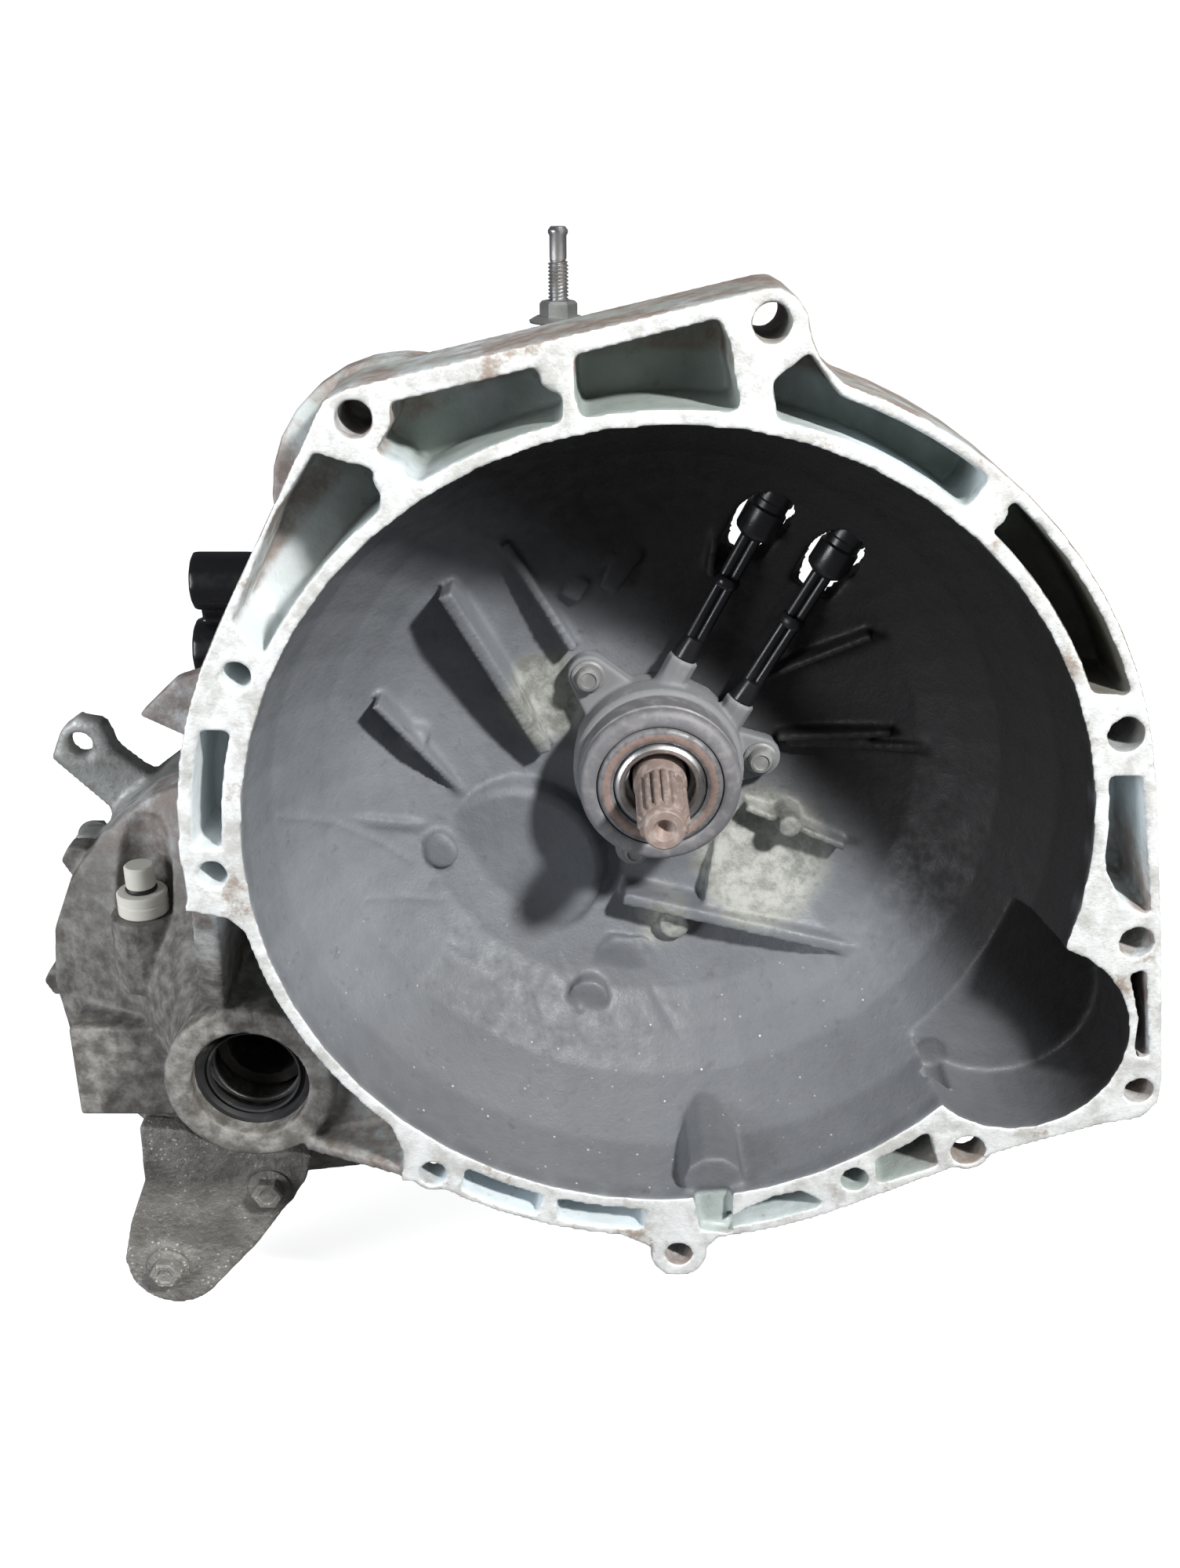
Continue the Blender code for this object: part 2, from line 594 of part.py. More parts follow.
def make_end_cover():
    start = CASE_END + GAP
    cover = plate("end_cover", [cover_outline(0)], start, COVER_END, ALUMINIUM)
    join(cover, plate("cover_rail_wall", [circle(19.5, 16, RAIL)], start, 360))
    idler = reverse_idler_centre()
    join(cover, *cover_lugs("cover_lug", start, start + 12))
    join(cover, plate("cover_idler_wall", [circle(28.5, 14, idler)], start, COVER_END))
    cut(cover, plate("cover_cavity", [cover_outline(-4.5)], start - 2, COVER_END - 5.5))
    cut(cover, plate("cover_rail_cavity", [circle(15.2, 16, RAIL)], start - 2, 355))
    cut(cover, plate("cover_idler_cavity", [circle(24, 14, idler)], start - 2, COVER_END - 5.5))
    reach = [(40, start - 2), (74, start - 2), (74, 355), (40, 355)]
    cut(cover, rib("cover_fork_window", OUTPUT, RAIL, reach, 20))
    boss = plate("idler_boss", [circle(11, 12, idler)], COVER_END - 7, COVER_END + 4)
    hole = plate("idler_hole", [circle(6.3, 12, idler)], COVER_END - 7.5, COVER_END + 1)
    join(cover, boss)
    cut(cover, hole)


# ---------------------------------------------------------------- gears and shafts

def pair_module(teeth):
    return 2 * distance(INPUT, OUTPUT) / sum(teeth)


def reverse_idler_centre():
    """Above the line between the shafts, where the idler meets both reverse gears."""
    driver, idler, driven = REVERSE_TEETH
    near = REVERSE_MODULE * (driver + idler) / 2
    far = REVERSE_MODULE * (idler + driven) / 2
    span = distance(INPUT, OUTPUT)
    along = (near ** 2 - far ** 2 + span ** 2) / (2 * span)
    lean = math.degrees(math.acos(along / near))
    return polar(near, direction(INPUT, OUTPUT) - lean)


def toothed(name, teeth, module, phase, bore, stations, axis, paint=None):
    loops = [tooth_outline(teeth, module, phase)]
    if bore:
        loops.append(circle(bore, 16))
    return plate(name, loops, *stations, paint, axis)


def dog_ring(name, bore, radius, start, end):
    return ring(name, bore + 0.6, radius, start, end, 16, axis=OUTPUT_AXIS)


def make_gear_pairs():
    heading = direction(INPUT, OUTPUT)
    shaft = bpy.data.objects["input_shaft"]
    for gear, (driver, driven) in GEAR_TEETH.items():
        module = pair_module((driver, driven))
        stations = GEAR_STATIONS[gear]
        phase = meshing_phase(heading, driven)
        if gear < 3:
            name = f"shaft_teeth_{gear}"
            join(shaft, toothed(name, driver, module, heading, 0, stations, MAIN_AXIS))
        else:
            bore = 17.3 if gear < 5 else 14.3
            name = f"input_gear_{gear}"
            toothed(name, driver, module, heading, bore, stations, MAIN_AXIS, STEEL)
        bore = 18.6 if gear < 5 else 14.6
        name = f"output_gear_{gear}"
        wheel = toothed(name, driven, module, phase, bore, stations, OUTPUT_AXIS, STEEL)
        start, end = stations
        radius = {1: 35.0, 2: 35.0, 3: 32.0, 4: 32.0, 5: 24.0}[gear]
        if gear in (2, 4):
            start, end = start - 4.5, start + 1
        else:
            start, end = end - 1, end + 4.5
        join(wheel, dog_ring(f"dog_ring_{gear}", bore, radius, start, end))


def make_reverse_set():
    driver, idler, driven = REVERSE_TEETH
    centre = reverse_idler_centre()
    axis = axis_frame("reverse_idler_axis", centre)
    first = direction(INPUT, centre)
    stations = REVERSE_STATIONS
    module = REVERSE_MODULE
    toothed("input_gear_reverse", driver, module, first, 9.3, stations, MAIN_AXIS, STEEL)
    phase = meshing_phase(first, idler)
    toothed("reverse_idler_gear", idler, module, phase, 6.4, stations, axis, STEEL)
    second = direction(centre, OUTPUT)
    # The idler's tooth nearest to the output gear is off the line of centres by some part of a step.
    step = 360.0 / idler
    ahead = (phase - second) % step
    driven_phase = meshing_phase(second, driven) - ahead * idler / driven
    name = "output_gear_reverse"
    wheel = toothed(name, driven, module, driven_phase, 14.6, stations, OUTPUT_AXIS, STEEL)
    join(wheel, dog_ring("dog_ring_reverse", 14.6, 24.0, stations[0] - 4.5, stations[0] + 1))
    profile = [(0, 349), (6, 349), (6, COVER_END + 0.5), (0, COVER_END + 0.5)]
    turned("reverse_idler_shaft", profile, 14, STEEL, axis)


def make_input_shaft():
    profile = [
        (0, 23), (3.2, 20), (7.5, 20), (8.9, 22), (8.9, 60), (11, 64), (11, 101), (15, 104),
        (15, 123), (17, 124), (17, 295), (14, 296), (14, 339), (9, 340), (9, 369), (0, 369),
    ]
    shaft = turned("input_shaft", profile, 12, STEEL)
    join(shaft, plate("tip_splines", [spline_outline(17, 9.1, 10.3)], 21.5, 57))


def spline_outline(teeth, root_r, tip_r):
    step = 360.0 / teeth
    points = []
    for i in range(teeth):
        for share, radius in ((-0.30, root_r), (-0.2, tip_r), (0.2, tip_r), (0.30, root_r)):
            points.append(polar(radius, (i + share) * step))
    return points


def make_output_shaft():
    profile = [
        (0, 108), (15, 108), (15, 124), (18, 125), (18, 295), (14, 296), (14, 369), (0, 369),
    ]
    shaft = turned("output_shaft", profile, 16, STEEL, OUTPUT_AXIS)
    heading = direction(OUTPUT, DIFF)
    teeth = (PINION_TEETH, RING_TEETH)
    module = 2 * distance(OUTPUT, DIFF) / sum(teeth)
    pinion = ("pinion_teeth", PINION_TEETH, module, heading, 0)
    join(shaft, toothed(*pinion, FINAL_STATIONS, OUTPUT_AXIS))
    wheel = ("ring_gear", RING_TEETH, module, meshing_phase(heading, RING_TEETH), 48.6)
    toothed(*wheel, FINAL_STATIONS, DIFF_AXIS, STEEL)


def make_synchros():
    for name, start, end, hub_r, sleeve_r in SYNCHROS:
        bore = 18.3 if start < 300 else 14.3
        ring(f"synchro_hub_{name}", bore, hub_r, start, end, 16, STEEL, OUTPUT_AXIS)
        middle = (start + end) / 2
        inner = hub_r + GAP
        groove_r = sleeve_r - 3
        profile = [
            (inner, start + 1), (sleeve_r, start + 1), (sleeve_r, middle - 2), (groove_r, middle - 2),
            (groove_r, middle + 2), (sleeve_r, middle + 2), (sleeve_r, end - 1), (inner, end - 1),
        ]
        turned(f"synchro_sleeve_{name}", profile, 16, STEEL, OUTPUT_AXIS)


def make_forks():
    """Each fork is a half ring in its sleeve's groove, with an arm to a hub that slides on the rail."""
    turned("fork_rail", [(0, 113), (7, 113), (7, 353), (0, 353)], 14, STEEL, RAIL_AXIS)
    toward = direction(OUTPUT, RAIL)
    for name, start, end, _, sleeve_r in SYNCHROS:
        middle = (start + end) / 2
        inner = sleeve_r - 3 + 1.2
        outer = sleeve_r + 6
        band = arc(outer, toward - 85, toward + 85, 10, OUTPUT)
        band += arc(inner, toward + 85, toward - 85, 10, OUTPUT)
        fork = plate(f"shift_fork_{name}", [band], middle - 1.6, middle + 1.6, DARK_STEEL)
        span = distance(OUTPUT, RAIL)
        near = polar(sleeve_r + 2, toward, OUTPUT)
        arm = [(0, middle - 1.6), (span - sleeve_r - 9, middle - 1.6),
               (span - sleeve_r - 9, middle + 1.6), (0, middle + 1.6)]
        hub = plate(f"fork_hub_{name}", [circle(11.0, 14, RAIL)], middle - 4.5, middle + 4.5)
        join(fork, rib(f"fork_arm_{name}", near, RAIL, arm, 12), hub)
        cut(fork, plate(f"fork_bore_{name}", [circle(7.3, 14, RAIL)], middle - 6, middle + 6))


# ---------------------------------------------------------------- differential

def make_differential_case():
    profile = [
        (0, 62), (21, 62), (21, 122.6), (36, 124), (48, 134), (48, 164.4), (62, 164.4),
        (62, 171), (48, 171), (48, 188), (24, 197), (21, 198), (21, 216), (0, 216),
    ]
    case = turned("differential_case", profile, 16, DARK_STEEL, DIFF_AXIS)
    cavity = [(0, 130), (20, 130), (41, 146), (41, 174), (20, 190), (0, 190)]
    cut(case, turned("differential_cavity", cavity, 16, axis=DIFF_AXIS))
    cut(case, turned("axle_bore", [(0, 60), (16, 60), (16, 218), (0, 218)], 16, axis=DIFF_AXIS))
    x, z = DIFF
    window = ((x - 60, DIFF_CENTRE - 12, z - 19), (x + 60, DIFF_CENTRE + 4, z + 19))
    cut(case, box("case_window", *window))
    cut(case, pin("cross_pin_bore", (x, DIFF_CENTRE, z - 60), (x, DIFF_CENTRE, z + 60), 7.3, 12))
    pin("differential_cross_pin", (x, DIFF_CENTRE, z - 47), (x, DIFF_CENTRE, z + 47), 7.0, 12, STEEL)


def bevel_mesh(name, teeth, large_r, reach, bore, spin):
    """A bevel gear on local Z.  Its apex is at the local origin and its large end is at reach."""
    module = 2 * large_r / teeth
    outline = tooth_outline(teeth, module, spin, tip=0.5, root=1.2)
    mesh = mesh_of(curve_object(name, [outline, circle(bore, 14)], reach * 0.15))
    small = 0.70
    for vertex in mesh.vertices:
        # The half nearer the apex shrinks towards it, so that every tooth points at the apex.
        at_apex_end = vertex.co.z < 0.0
        radius = vertex.co.xy.length / MM
        if at_apex_end and radius > bore + 0.5:
            vertex.co.x *= small
            vertex.co.y *= small
        vertex.co.z = (reach * small if at_apex_end else reach) * MM
    return mesh


def make_bevel(name, teeth, large_r, reach, bore, hub_r, hub_length, spin, turn):
    centre = Vector((DIFF[0], DIFF_CENTRE, DIFF[1])) * MM
    gear = bpy.data.objects.new(name, bevel_mesh(name, teeth, large_r, reach, bore, spin))
    gear.matrix_world = Matrix.Translation(centre) @ turn
    place(gear, STEEL)
    outline = [circle(hub_r, 16), circle(bore, 14)]
    hub_mesh = mesh_of(curve_object(name + "_hub", outline, hub_length / 2))
    hub = bpy.data.objects.new(name + "_hub", hub_mesh)
    middle = reach - 0.6 + hub_length / 2
    hub.matrix_world = gear.matrix_world @ Matrix.Translation((0.0, 0.0, middle * MM))
    place(hub, None)
    join(gear, hub)


def make_differential_gears():
    """Side gears share the differential's axis.  Spider gears turn on the cross pin."""
    half_turn = math.pi
    for name, angle in (("side_gear_left", half_turn / 2), ("side_gear_right", -half_turn / 2)):
        turn = Matrix.Rotation(angle, 4, "X")
        make_bevel(name, 14, 25.0, 17.9, 11.0, 15.5, 14.0, 90.0, turn)
    for name, angle in (("spider_gear_upper", 0.0), ("spider_gear_lower", half_turn)):
        turn = Matrix.Rotation(angle, 4, "X")
        make_bevel(name, 10, 17.9, 25.0, 7.3, 12.0, 8.5, 90.0 + 18.0, turn)


def make_bearings():
    seats = (
        ("input_bearing_front", INPUT_BEARING, 108, 122, MAIN_AXIS),
        ("input_bearing_rear", (14.3, 31.0), 296, 307.7, MAIN_AXIS),
        ("output_bearing_front", OUTPUT_BEARING, 108, 122, OUTPUT_AXIS),
        ("output_bearing_rear", (14.3, 34.0), 296, 307.7, OUTPUT_AXIS),
        ("differential_bearing_left", DIFF_BEARING, 106, 122, DIFF_AXIS),
        ("differential_bearing_right", DIFF_BEARING, 200, 216, DIFF_AXIS),
    )
    for name, (inner, outer), start, end, axis in seats:
        ring(name, inner, outer, start, end, SEAT_STEPS, STEEL, axis)


def make_driveshaft_seals():
    lip_r = 18.5
    for name, start, end in (("driveshaft_seal_left", 38, 47), ("driveshaft_seal_right", 222, 231)):
        profile = [
            (lip_r, start + 1), (SEAL_BORE_R - GAP, start), (SEAL_BORE_R - GAP, end),
            (lip_r + 3, end), (lip_r + 1, start + 4),
        ]
        turned(name, profile, SEAT_STEPS, SEAL_RUBBER, DIFF_AXIS)


# ---------------------------------------------------------------- clutch release

def pipe_point(pipe, share):
    """A point along a fluid pipe, where 0 is its port and 1 is the middle of its hole in the bell."""
    (x0, z0), (x1, z1) = pipe
    return (x0 + (x1 - x0) * share, 91.0 - 6.0 * share, z0 + (z1 - z0) * share)


def make_slave_cylinder():
    profile = [
        (0, 70), (23.0, 70), (23.0, 79), (33, 79), (SLAVE_R, 81), (SLAVE_R, 101.7), (0, 101.7),
    ]
    body = turned("slave_cylinder", profile, 20, GREY_PLASTIC)
    for i, (x, z) in enumerate(SLAVE_BOLTS):
        reach = distance((0, 0), (x, z))
        heading = direction((0, 0), (x, z))
        lug = belt((0, 0), 20, polar(reach, heading), 8.5, 4)
        join(body, plate(f"slave_lug_{i}", [lug], 93, 101.5))
    for i, pipe in enumerate(PIPES):
        join(body, pin(f"slave_port_{i}", pipe_point(pipe, -0.3), pipe_point(pipe, 0.06), 6.5, 8))
    cut(body, turned("slave_bore", [(0, 60), (12.6, 60), (12.6, 110), (0, 110)], 20))
    for i, (x, z) in enumerate(SLAVE_BOLTS):
        cut(body, pin(f"slave_bolt_hole_{i}", (x, 88, z), (x, 104, z), 3.9, 6))
        bolt = pin(f"slave_cylinder_bolt_{i + 1}", (x, 86.5, z), (x, 92.7, z), 5.6, 6, STEEL)
        join(bolt, pin(f"slave_shank_{i}", (x, 92, z), (x, 113.5, z), 3.0, 6))


def make_release_bearing():
    carrier = [
        (25.8, RELEASE_FACE), (31.5, RELEASE_FACE), (33, 62.5), (33, 78.4), (23.5, 78.4),
        (23.5, 69.5), (25.8, 69.5),
    ]
    turned("release_bearing", carrier, 28, GREY_PLASTIC)
    race = [
        (14.2, 61.8), (15.5, 60.2), (22.5, 60.2), (25.4, 61.8), (25.4, 69.2), (14.2, 69.2),
    ]
    turned("release_bearing_race", race, 24, RUSTY_STEEL)


def make_pipes():
    names = ("fluid_pipe", "bleed_pipe")
    for name, pipe in zip(names, PIPES):
        curve = bpy.data.curves.new(name, "CURVE")
        curve.dimensions = "3D"
        curve.bevel_depth = 4.0 * MM
        curve.bevel_resolution = 2
        curve.use_fill_caps = True
        spline = curve.splines.new("POLY")
        stations = ((0.07, 1.0), (0.45, 1.0), (0.86, 1.0), (0.88, 1.75), (1.3, 1.75))
        spline.points.add(len(stations) - 1)
        for point, (share, thickness) in zip(spline.points, stations):
            point.co = (*(Vector(pipe_point(pipe, share)) * MM), 1.0)
            point.radius = thickness
        mesh = mesh_of(bpy.data.objects.new(name, curve))
        place(bpy.data.objects.new(name, mesh), BLACK_PLASTIC)


# ---------------------------------------------------------------- selector, fittings and bracket

def make_selector():
    y, z = SELECTOR_Y, SELECTOR_Z
    housing = pin("selector_housing", (-130.3, y, z), (-138, y, z), 24, 20, ALUMINIUM)
    join(housing, pin("selector_neck", (-137, y, z), (-172, y, z), 17, 16))
    join(housing, pin("breather_boss", (-162, y, z), (-162, y, z + 27), 6, 10))
    cut(housing, pin("selector_neck_bore", (-120, y, z), (-180, y, z), 8.4, 14))
    shaft = pin("selector_shaft", (-90, y, z), (-186, y, z), 8.0, 14, STEEL)
    join(shaft, pin("selector_finger", (-109, y, z - 3), (-109, y, 21), 5.5, 10, end_radius=3.5))
    lever = pin("selector_lever", (-176, y, z), (-200, y, z), 18, 14, BLACK_PLASTIC)
    lobe = pin("lever_lobe", (-180, y - 12, z - 22), (-204, y - 12, z - 22), 14, 12)
    arm = pin("lever_arm", (-190, y + 2, z - 4), (-192, y - 12, z - 24), 11, 8)
    bush = pin("lever_bush", (-173, y - 22, z + 12), (-200, y - 22, z + 12), 13, 12)
    joint = pin("lever_joint", (-185, y, z + 4), (-185, y - 22, z + 12), 11, 8)
    join(lever, lobe, arm, joint, bush)
    cut(lever, pin("lever_bore", (-170, y, z), (-186.5, y, z), 8.3, 14))
    cap = pin("breather_cap", (-162, y, z + 27.3), (-162, y, z + 36), 8.5, 14, BLUE_PLASTIC)
    join(cap, pin("breather_stem", (-162, y, z + 35), (-162, y, z + 39), 6, 14))


def make_fittings():
    x, y = STUD
    stud = pin("mount_stud", (x, y, 152), (x, y, 213), 3.3, 12, STEEL)
    join(stud, pin("stud_collar", (x, y, 177.3), (x, y, 180), 6.5, 12))
    nut = pin("mount_stud_nut", (x, y, 180.3), (x, y, 188), 6.6, 6, STEEL)
    join(nut, pin("nut_flange", (x, y, 180.3), (x, y, 182), 10.5, 16))
    cut(nut, pin("nut_bore", (x, y, 178), (x, y, 190), 3.6, 12))
    sx, sy = SENSOR
    sensor = pin("speed_sensor", (sx, sy, -76.7), (sx, sy, -66), 11, 20, CREAM_PLASTIC)
    join(sensor, pin("sensor_tip", (sx, sy, -67), (sx, sy, -53.5), 6.5, 16))
    join(sensor, pin("sensor_stem", (sx, sy, -96), (sx, sy, -76), 7.0, 12))


def make_bracket():
    tip = (-226.0, -255.0)
    outline = [(-156, -192), (-160, -206), (-185, -242)]
    outline += arc(22.5, -40, -160, 8, tip)
    outline += [(-249, -252), (-244, -231), (-234.5, -206), (-234, -176)]
    outline += arc(SNOUT_R + 22, 232, 282, 6, (-176, -133))
    bracket = plate("support_bracket", [outline], *BRACKET_Y, DARK_STEEL)
    names = ("bracket_bolt_upper", "bracket_bolt_lower")
    for name, (x, z) in zip(names, BRACKET_BOLTS):
        cut(bracket, pin(name + "_hole", (x, 70, z), (x, 95, z), 4.4, 10))
        bolt = pin(name, (x, BRACKET_Y[0] - 7.5, z), (x, BRACKET_Y[0] - GAP, z), 8.2, 6, STEEL)
        join(bolt, pin(name + "_shank", (x, BRACKET_Y[0] - 1, z), (x, 106.5, z), 4.0, 10))


def main():
    make_bell_housing()
    make_gear_case()
    make_end_cover()
    make_input_shaft()
    make_output_shaft()
    make_gear_pairs()
    make_reverse_set()
    make_synchros()
    make_forks()
    make_differential_case()
    make_differential_gears()
    make_bearings()
    make_driveshaft_seals()
    make_slave_cylinder()
    make_release_bearing()
    make_pipes()
    make_selector()
    make_fittings()
    make_bracket()
    add_booleans()


main()
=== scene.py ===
"""Looks for the manual transmission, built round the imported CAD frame.

Lengths in the helpers are in millimetres in the CAD frame and pass through MM.  The origin is on the input
shaft's axis in the flange plane, +Y runs into the gearbox, +X is to the right seen from the engine, +Z is up.
"""

import json
import math

import bmesh
import bpy
from mathutils import Matrix, Vector
from mathutils.bvhtree import BVHTree


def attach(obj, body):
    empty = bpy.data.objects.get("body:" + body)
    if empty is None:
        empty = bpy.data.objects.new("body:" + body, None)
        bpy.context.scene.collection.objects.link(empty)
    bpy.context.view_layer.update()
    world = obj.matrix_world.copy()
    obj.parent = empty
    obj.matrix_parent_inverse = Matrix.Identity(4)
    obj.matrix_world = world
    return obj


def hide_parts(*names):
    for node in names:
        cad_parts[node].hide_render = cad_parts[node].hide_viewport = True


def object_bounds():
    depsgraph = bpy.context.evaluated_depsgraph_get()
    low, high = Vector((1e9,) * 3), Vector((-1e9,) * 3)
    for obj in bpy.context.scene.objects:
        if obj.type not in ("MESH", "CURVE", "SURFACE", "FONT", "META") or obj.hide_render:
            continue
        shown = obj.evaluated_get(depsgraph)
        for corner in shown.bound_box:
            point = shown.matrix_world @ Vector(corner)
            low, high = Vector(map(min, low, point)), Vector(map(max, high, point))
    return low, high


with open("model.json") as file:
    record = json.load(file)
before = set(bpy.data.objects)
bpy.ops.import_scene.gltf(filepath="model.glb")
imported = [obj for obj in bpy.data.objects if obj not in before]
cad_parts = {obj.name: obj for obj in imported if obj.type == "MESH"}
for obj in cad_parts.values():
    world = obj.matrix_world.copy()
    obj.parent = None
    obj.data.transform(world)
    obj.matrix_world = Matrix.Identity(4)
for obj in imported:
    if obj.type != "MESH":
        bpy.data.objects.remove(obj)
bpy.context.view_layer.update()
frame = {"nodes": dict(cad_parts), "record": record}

MM = 0.001
NODES = frame["nodes"]

# Shaft axes, as (x, z)
INPUT = (0.0, 0.0)
OUTPUT = (-61.0, -52.0)
DIFF = (-169.0, -121.0)
RAIL = (-109.0, 5.0)
STARTER = (138.0, -79.0)

# The station of the clutch space's wall where no ray meets it, and how far webs and bosses run into the wall
BACK_WALL = 102.0
SUNK = 2.5
WEB_CREST = 94.0
WEB_STEPS = 8
SPLINE_TEETH = 17
SLAVE_BOLTS = ((-29.0, 36.0), (43.0, 0.0), (-9.0, -42.0))
PIPES = (((8.0, 41.0), (38.7, 104.4)), ((31.4, 22.3), (68.0, 90.0)))
BRACKET_BOLTS = ((-176.5, -209.0), (-228.5, -255.0))
EDGE_HOLES = (((122.5, -130.9), 6.6), ((-91.1, -142.9), 5.5))
STUD = (-39.4, 60.0)
SENSOR = (-226.0, 100.0)
PIPE_STATION = 91.0
PIPE_LEAN = -6.0
SLAVE_BOLT_SEAT = 92.7
BRACKET_BOLT_SEAT = 76.8
CASE_BOLT_SEAT = 149.4
COVER_BOLT_SEAT = 322.4
SEALS = (("left", 38.0, 1.0), ("right", 231.0, -1.0))

# Patches of bare metal round the release cylinder, as (centre, reach)
BARE_PATCHES = (((-46.0, 24.0), 24.0), ((46.0, -46.0), 34.0), ((4.0, -76.0), 16.0))

# Edges sharper than this many degrees stay sharp on a turned piece, and none do on a casting
SHARP = 35.0
NONE_SHARP = 180.0

# The stage, lights and camera, in metres
FLOOR_RADIUS = 2.6
FLOOR_CURVE = 0.8
FLOOR_TOP = 4.0
FLOOR_STEPS = 72
KEY_DIRECTION = (0.78, -1.0, 1.08)
KEY_DISTANCE = 1.7
CAMERA_PLACE = (-0.02623, -0.51581, 0.24973)
CAMERA_FORWARD = (-0.00321, 0.91858, -0.39523)
CAMERA_UP = (-0.00138, 0.39523, 0.91858)


# ---------------------------------------------------------------- mesh helpers

def polar(radius, degrees, centre=(0.0, 0.0)):
    angle = math.radians(degrees)
    return (centre[0] + radius * math.cos(angle), centre[1] + radius * math.sin(angle))


def circle(radius, steps, centre=(0.0, 0.0)):
    return [polar(radius, 360.0 * i / steps, centre) for i in range(steps)]


def along(start, heading):
    """The transform that puts local Z on the heading from start."""
    turn = Vector(heading).to_track_quat("Z", "Y").to_matrix().to_4x4()
    return Matrix.Translation(Vector(start)) @ turn


def prism(cage, outline, start, end, taper=0.0):
    """A closed outline in (x, z), from one station along Y to another.  Taper draws the near end in."""
    middle = Vector((sum(p[0] for p in outline), sum(p[1] for p in outline))) / len(outline)
    near = []
    far = []
    for x, z in outline:
        inward = (middle - Vector((x, z))).normalized() * taper
        near.append(cage.verts.new(Vector((x + inward.x, start, z + inward.y)) * MM))
        far.append(cage.verts.new(Vector((x, end, z)) * MM))
    cage.faces.new(near)
    cage.faces.new(list(reversed(far)))
    count = len(outline)
    for i in range(count):
        j = (i + 1) % count
        cage.faces.new((near[j], near[i], far[i], far[j]))


def web(cage, start, end, profile, width, foot):
    """A rib on the line from start to end, wider by the share foot over its deepest 20 mm.

    The profile lists (distance along the line, station).
    """
    direction = Vector((end[0] - start[0], 0.0, end[1] - start[1])).normalized()
    across = Vector((0.0, 1.0, 0.0)).cross(direction)
    base = Vector((start[0], 0.0, start[1]))
    deepest = max(station for _, station in profile)
    sides = []
    for sign in (-0.5, 0.5):
        side = []
        for reach, station in profile:
            spread = width * (1.0 + foot * (station > deepest - 20.0))
            point = base + direction * reach + across * (sign * spread) + Vector((0.0, station, 0.0))
            side.append(cage.verts.new(point * MM))
        sides.append(side)
    left, right = sides
    cage.faces.new(left)
    cage.faces.new(list(reversed(right)))
    count = len(profile)
    for i in range(count):
        j = (i + 1) % count
        cage.faces.new((left[j], left[i], right[i], right[j]))


def rod(cage, start, end, radius, steps, end_radius=None):
    """A cylinder or cone between two points."""
    start = Vector(start) * MM
    end = Vector(end) * MM
    bmesh.ops.create_cone(
        cage, cap_ends=True, segments=steps, radius1=radius * MM,
        radius2=(radius if end_radius is None else end_radius) * MM, depth=(end - start).length,
        matrix=along((start + end) / 2, end - start),
    )


def lathe(cage, profile, steps, start=(0.0, 0.0, 0.0), heading=(0.0, 1.0, 0.0)):
    """Turns a closed (radius, distance along the heading) profile about a line through start."""
    place = along(Vector(start) * MM, heading)
    rings = []
    for i in range(steps):
        angle = 2 * math.pi * i / steps
        rings.append([
            cage.verts.new(place @ (Vector((r * math.cos(angle), r * math.sin(angle), d)) * MM))
            for r, d in profile
        ])
    count = len(profile)
    for i in range(steps):
        this, other = rings[i], rings[(i + 1) % steps]
        for k in range(count):
            j = (k + 1) % count
            cage.faces.new((this[k], this[j], other[j], other[k]))
    bmesh.ops.remove_doubles(cage, verts=cage.verts, dist=1e-7)


def loft(cage, rings):
    """Joins rings of the same count of points into one closed skin."""
    made = [[cage.verts.new(Vector(point) * MM) for point in points] for points in rings]
    count = len(made[0])
    for near, far in zip(made, made[1:]):
        for i in range(count):
            j = (i + 1) % count
            cage.faces.new((near[i], near[j], far[j], far[i]))
    cage.faces.new(list(reversed(made[0])))
    cage.faces.new(made[-1])


def hexagon(cage, start, heading, radius, height, dished=0.8):
    """A bolt head or nut blank with chamfered corners and a dished top."""
    place = along(start, heading)
    rows = ((0.0, 1.0), (height - 0.9, 1.0), (height, 0.86), (height, 0.6), (height - dished, 0.5))
    rings = [[place @ Vector((*point, level)) for point in circle(radius * share, 6)]
             for level, share in rows]
    loft(cage, rings)


def bolt_head(cage, start, heading, radius, height, washer):
    """A hexagon on a round flange with a sloped rim."""
    flange = [(0.0, 0.0), (washer, 0.0), (washer, 0.7), (radius, 1.9), (0.0, 1.9)]
    lathe(cage, flange, 28, start, heading)
    base = Vector(start) + Vector(heading).normalized() * 1.5
    hexagon(cage, base, heading, radius, height)


def threaded(cage, start, heading, length, radius, pitch=1.25, steps=24):
    """A rod with a helical thread and a short cone at its tip."""
    place = along(start, heading)
    depth = 0.32 * pitch
    rows = int(length / pitch * 6)
    rings = []
    for row in range(rows + 1):
        level = length * row / rows
        cone = max(0.0, level - (length - 1.6))
        points = []
        for i in range(steps):
            share = (level / pitch - i / steps) % 1.0
            rise = depth * (1.0 - 2.0 * abs(share - 0.5) * 2.0) if row else 0.0
            x, y = polar(radius - depth + max(rise, -depth) - cone * 0.7, 360.0 * i / steps)
            points.append(place @ Vector((x, y, level)))
        rings.append(points)
    loft(cage, rings)


def mesh_from(name, cage):
    bmesh.ops.recalc_face_normals(cage, faces=cage.faces)
    mesh = bpy.data.meshes.new(name)
    cage.to_mesh(mesh)
    cage.free()
    return mesh


def piece(name, cage, body, paint, replaced=()):
    """Makes a piece from a cage and hangs it on its CAD body."""
    obj = bpy.data.objects.new(name, mesh_from(name, cage))
    bpy.context.scene.collection.objects.link(obj)
    finish_piece(obj, body, paint, SHARP, replaced)


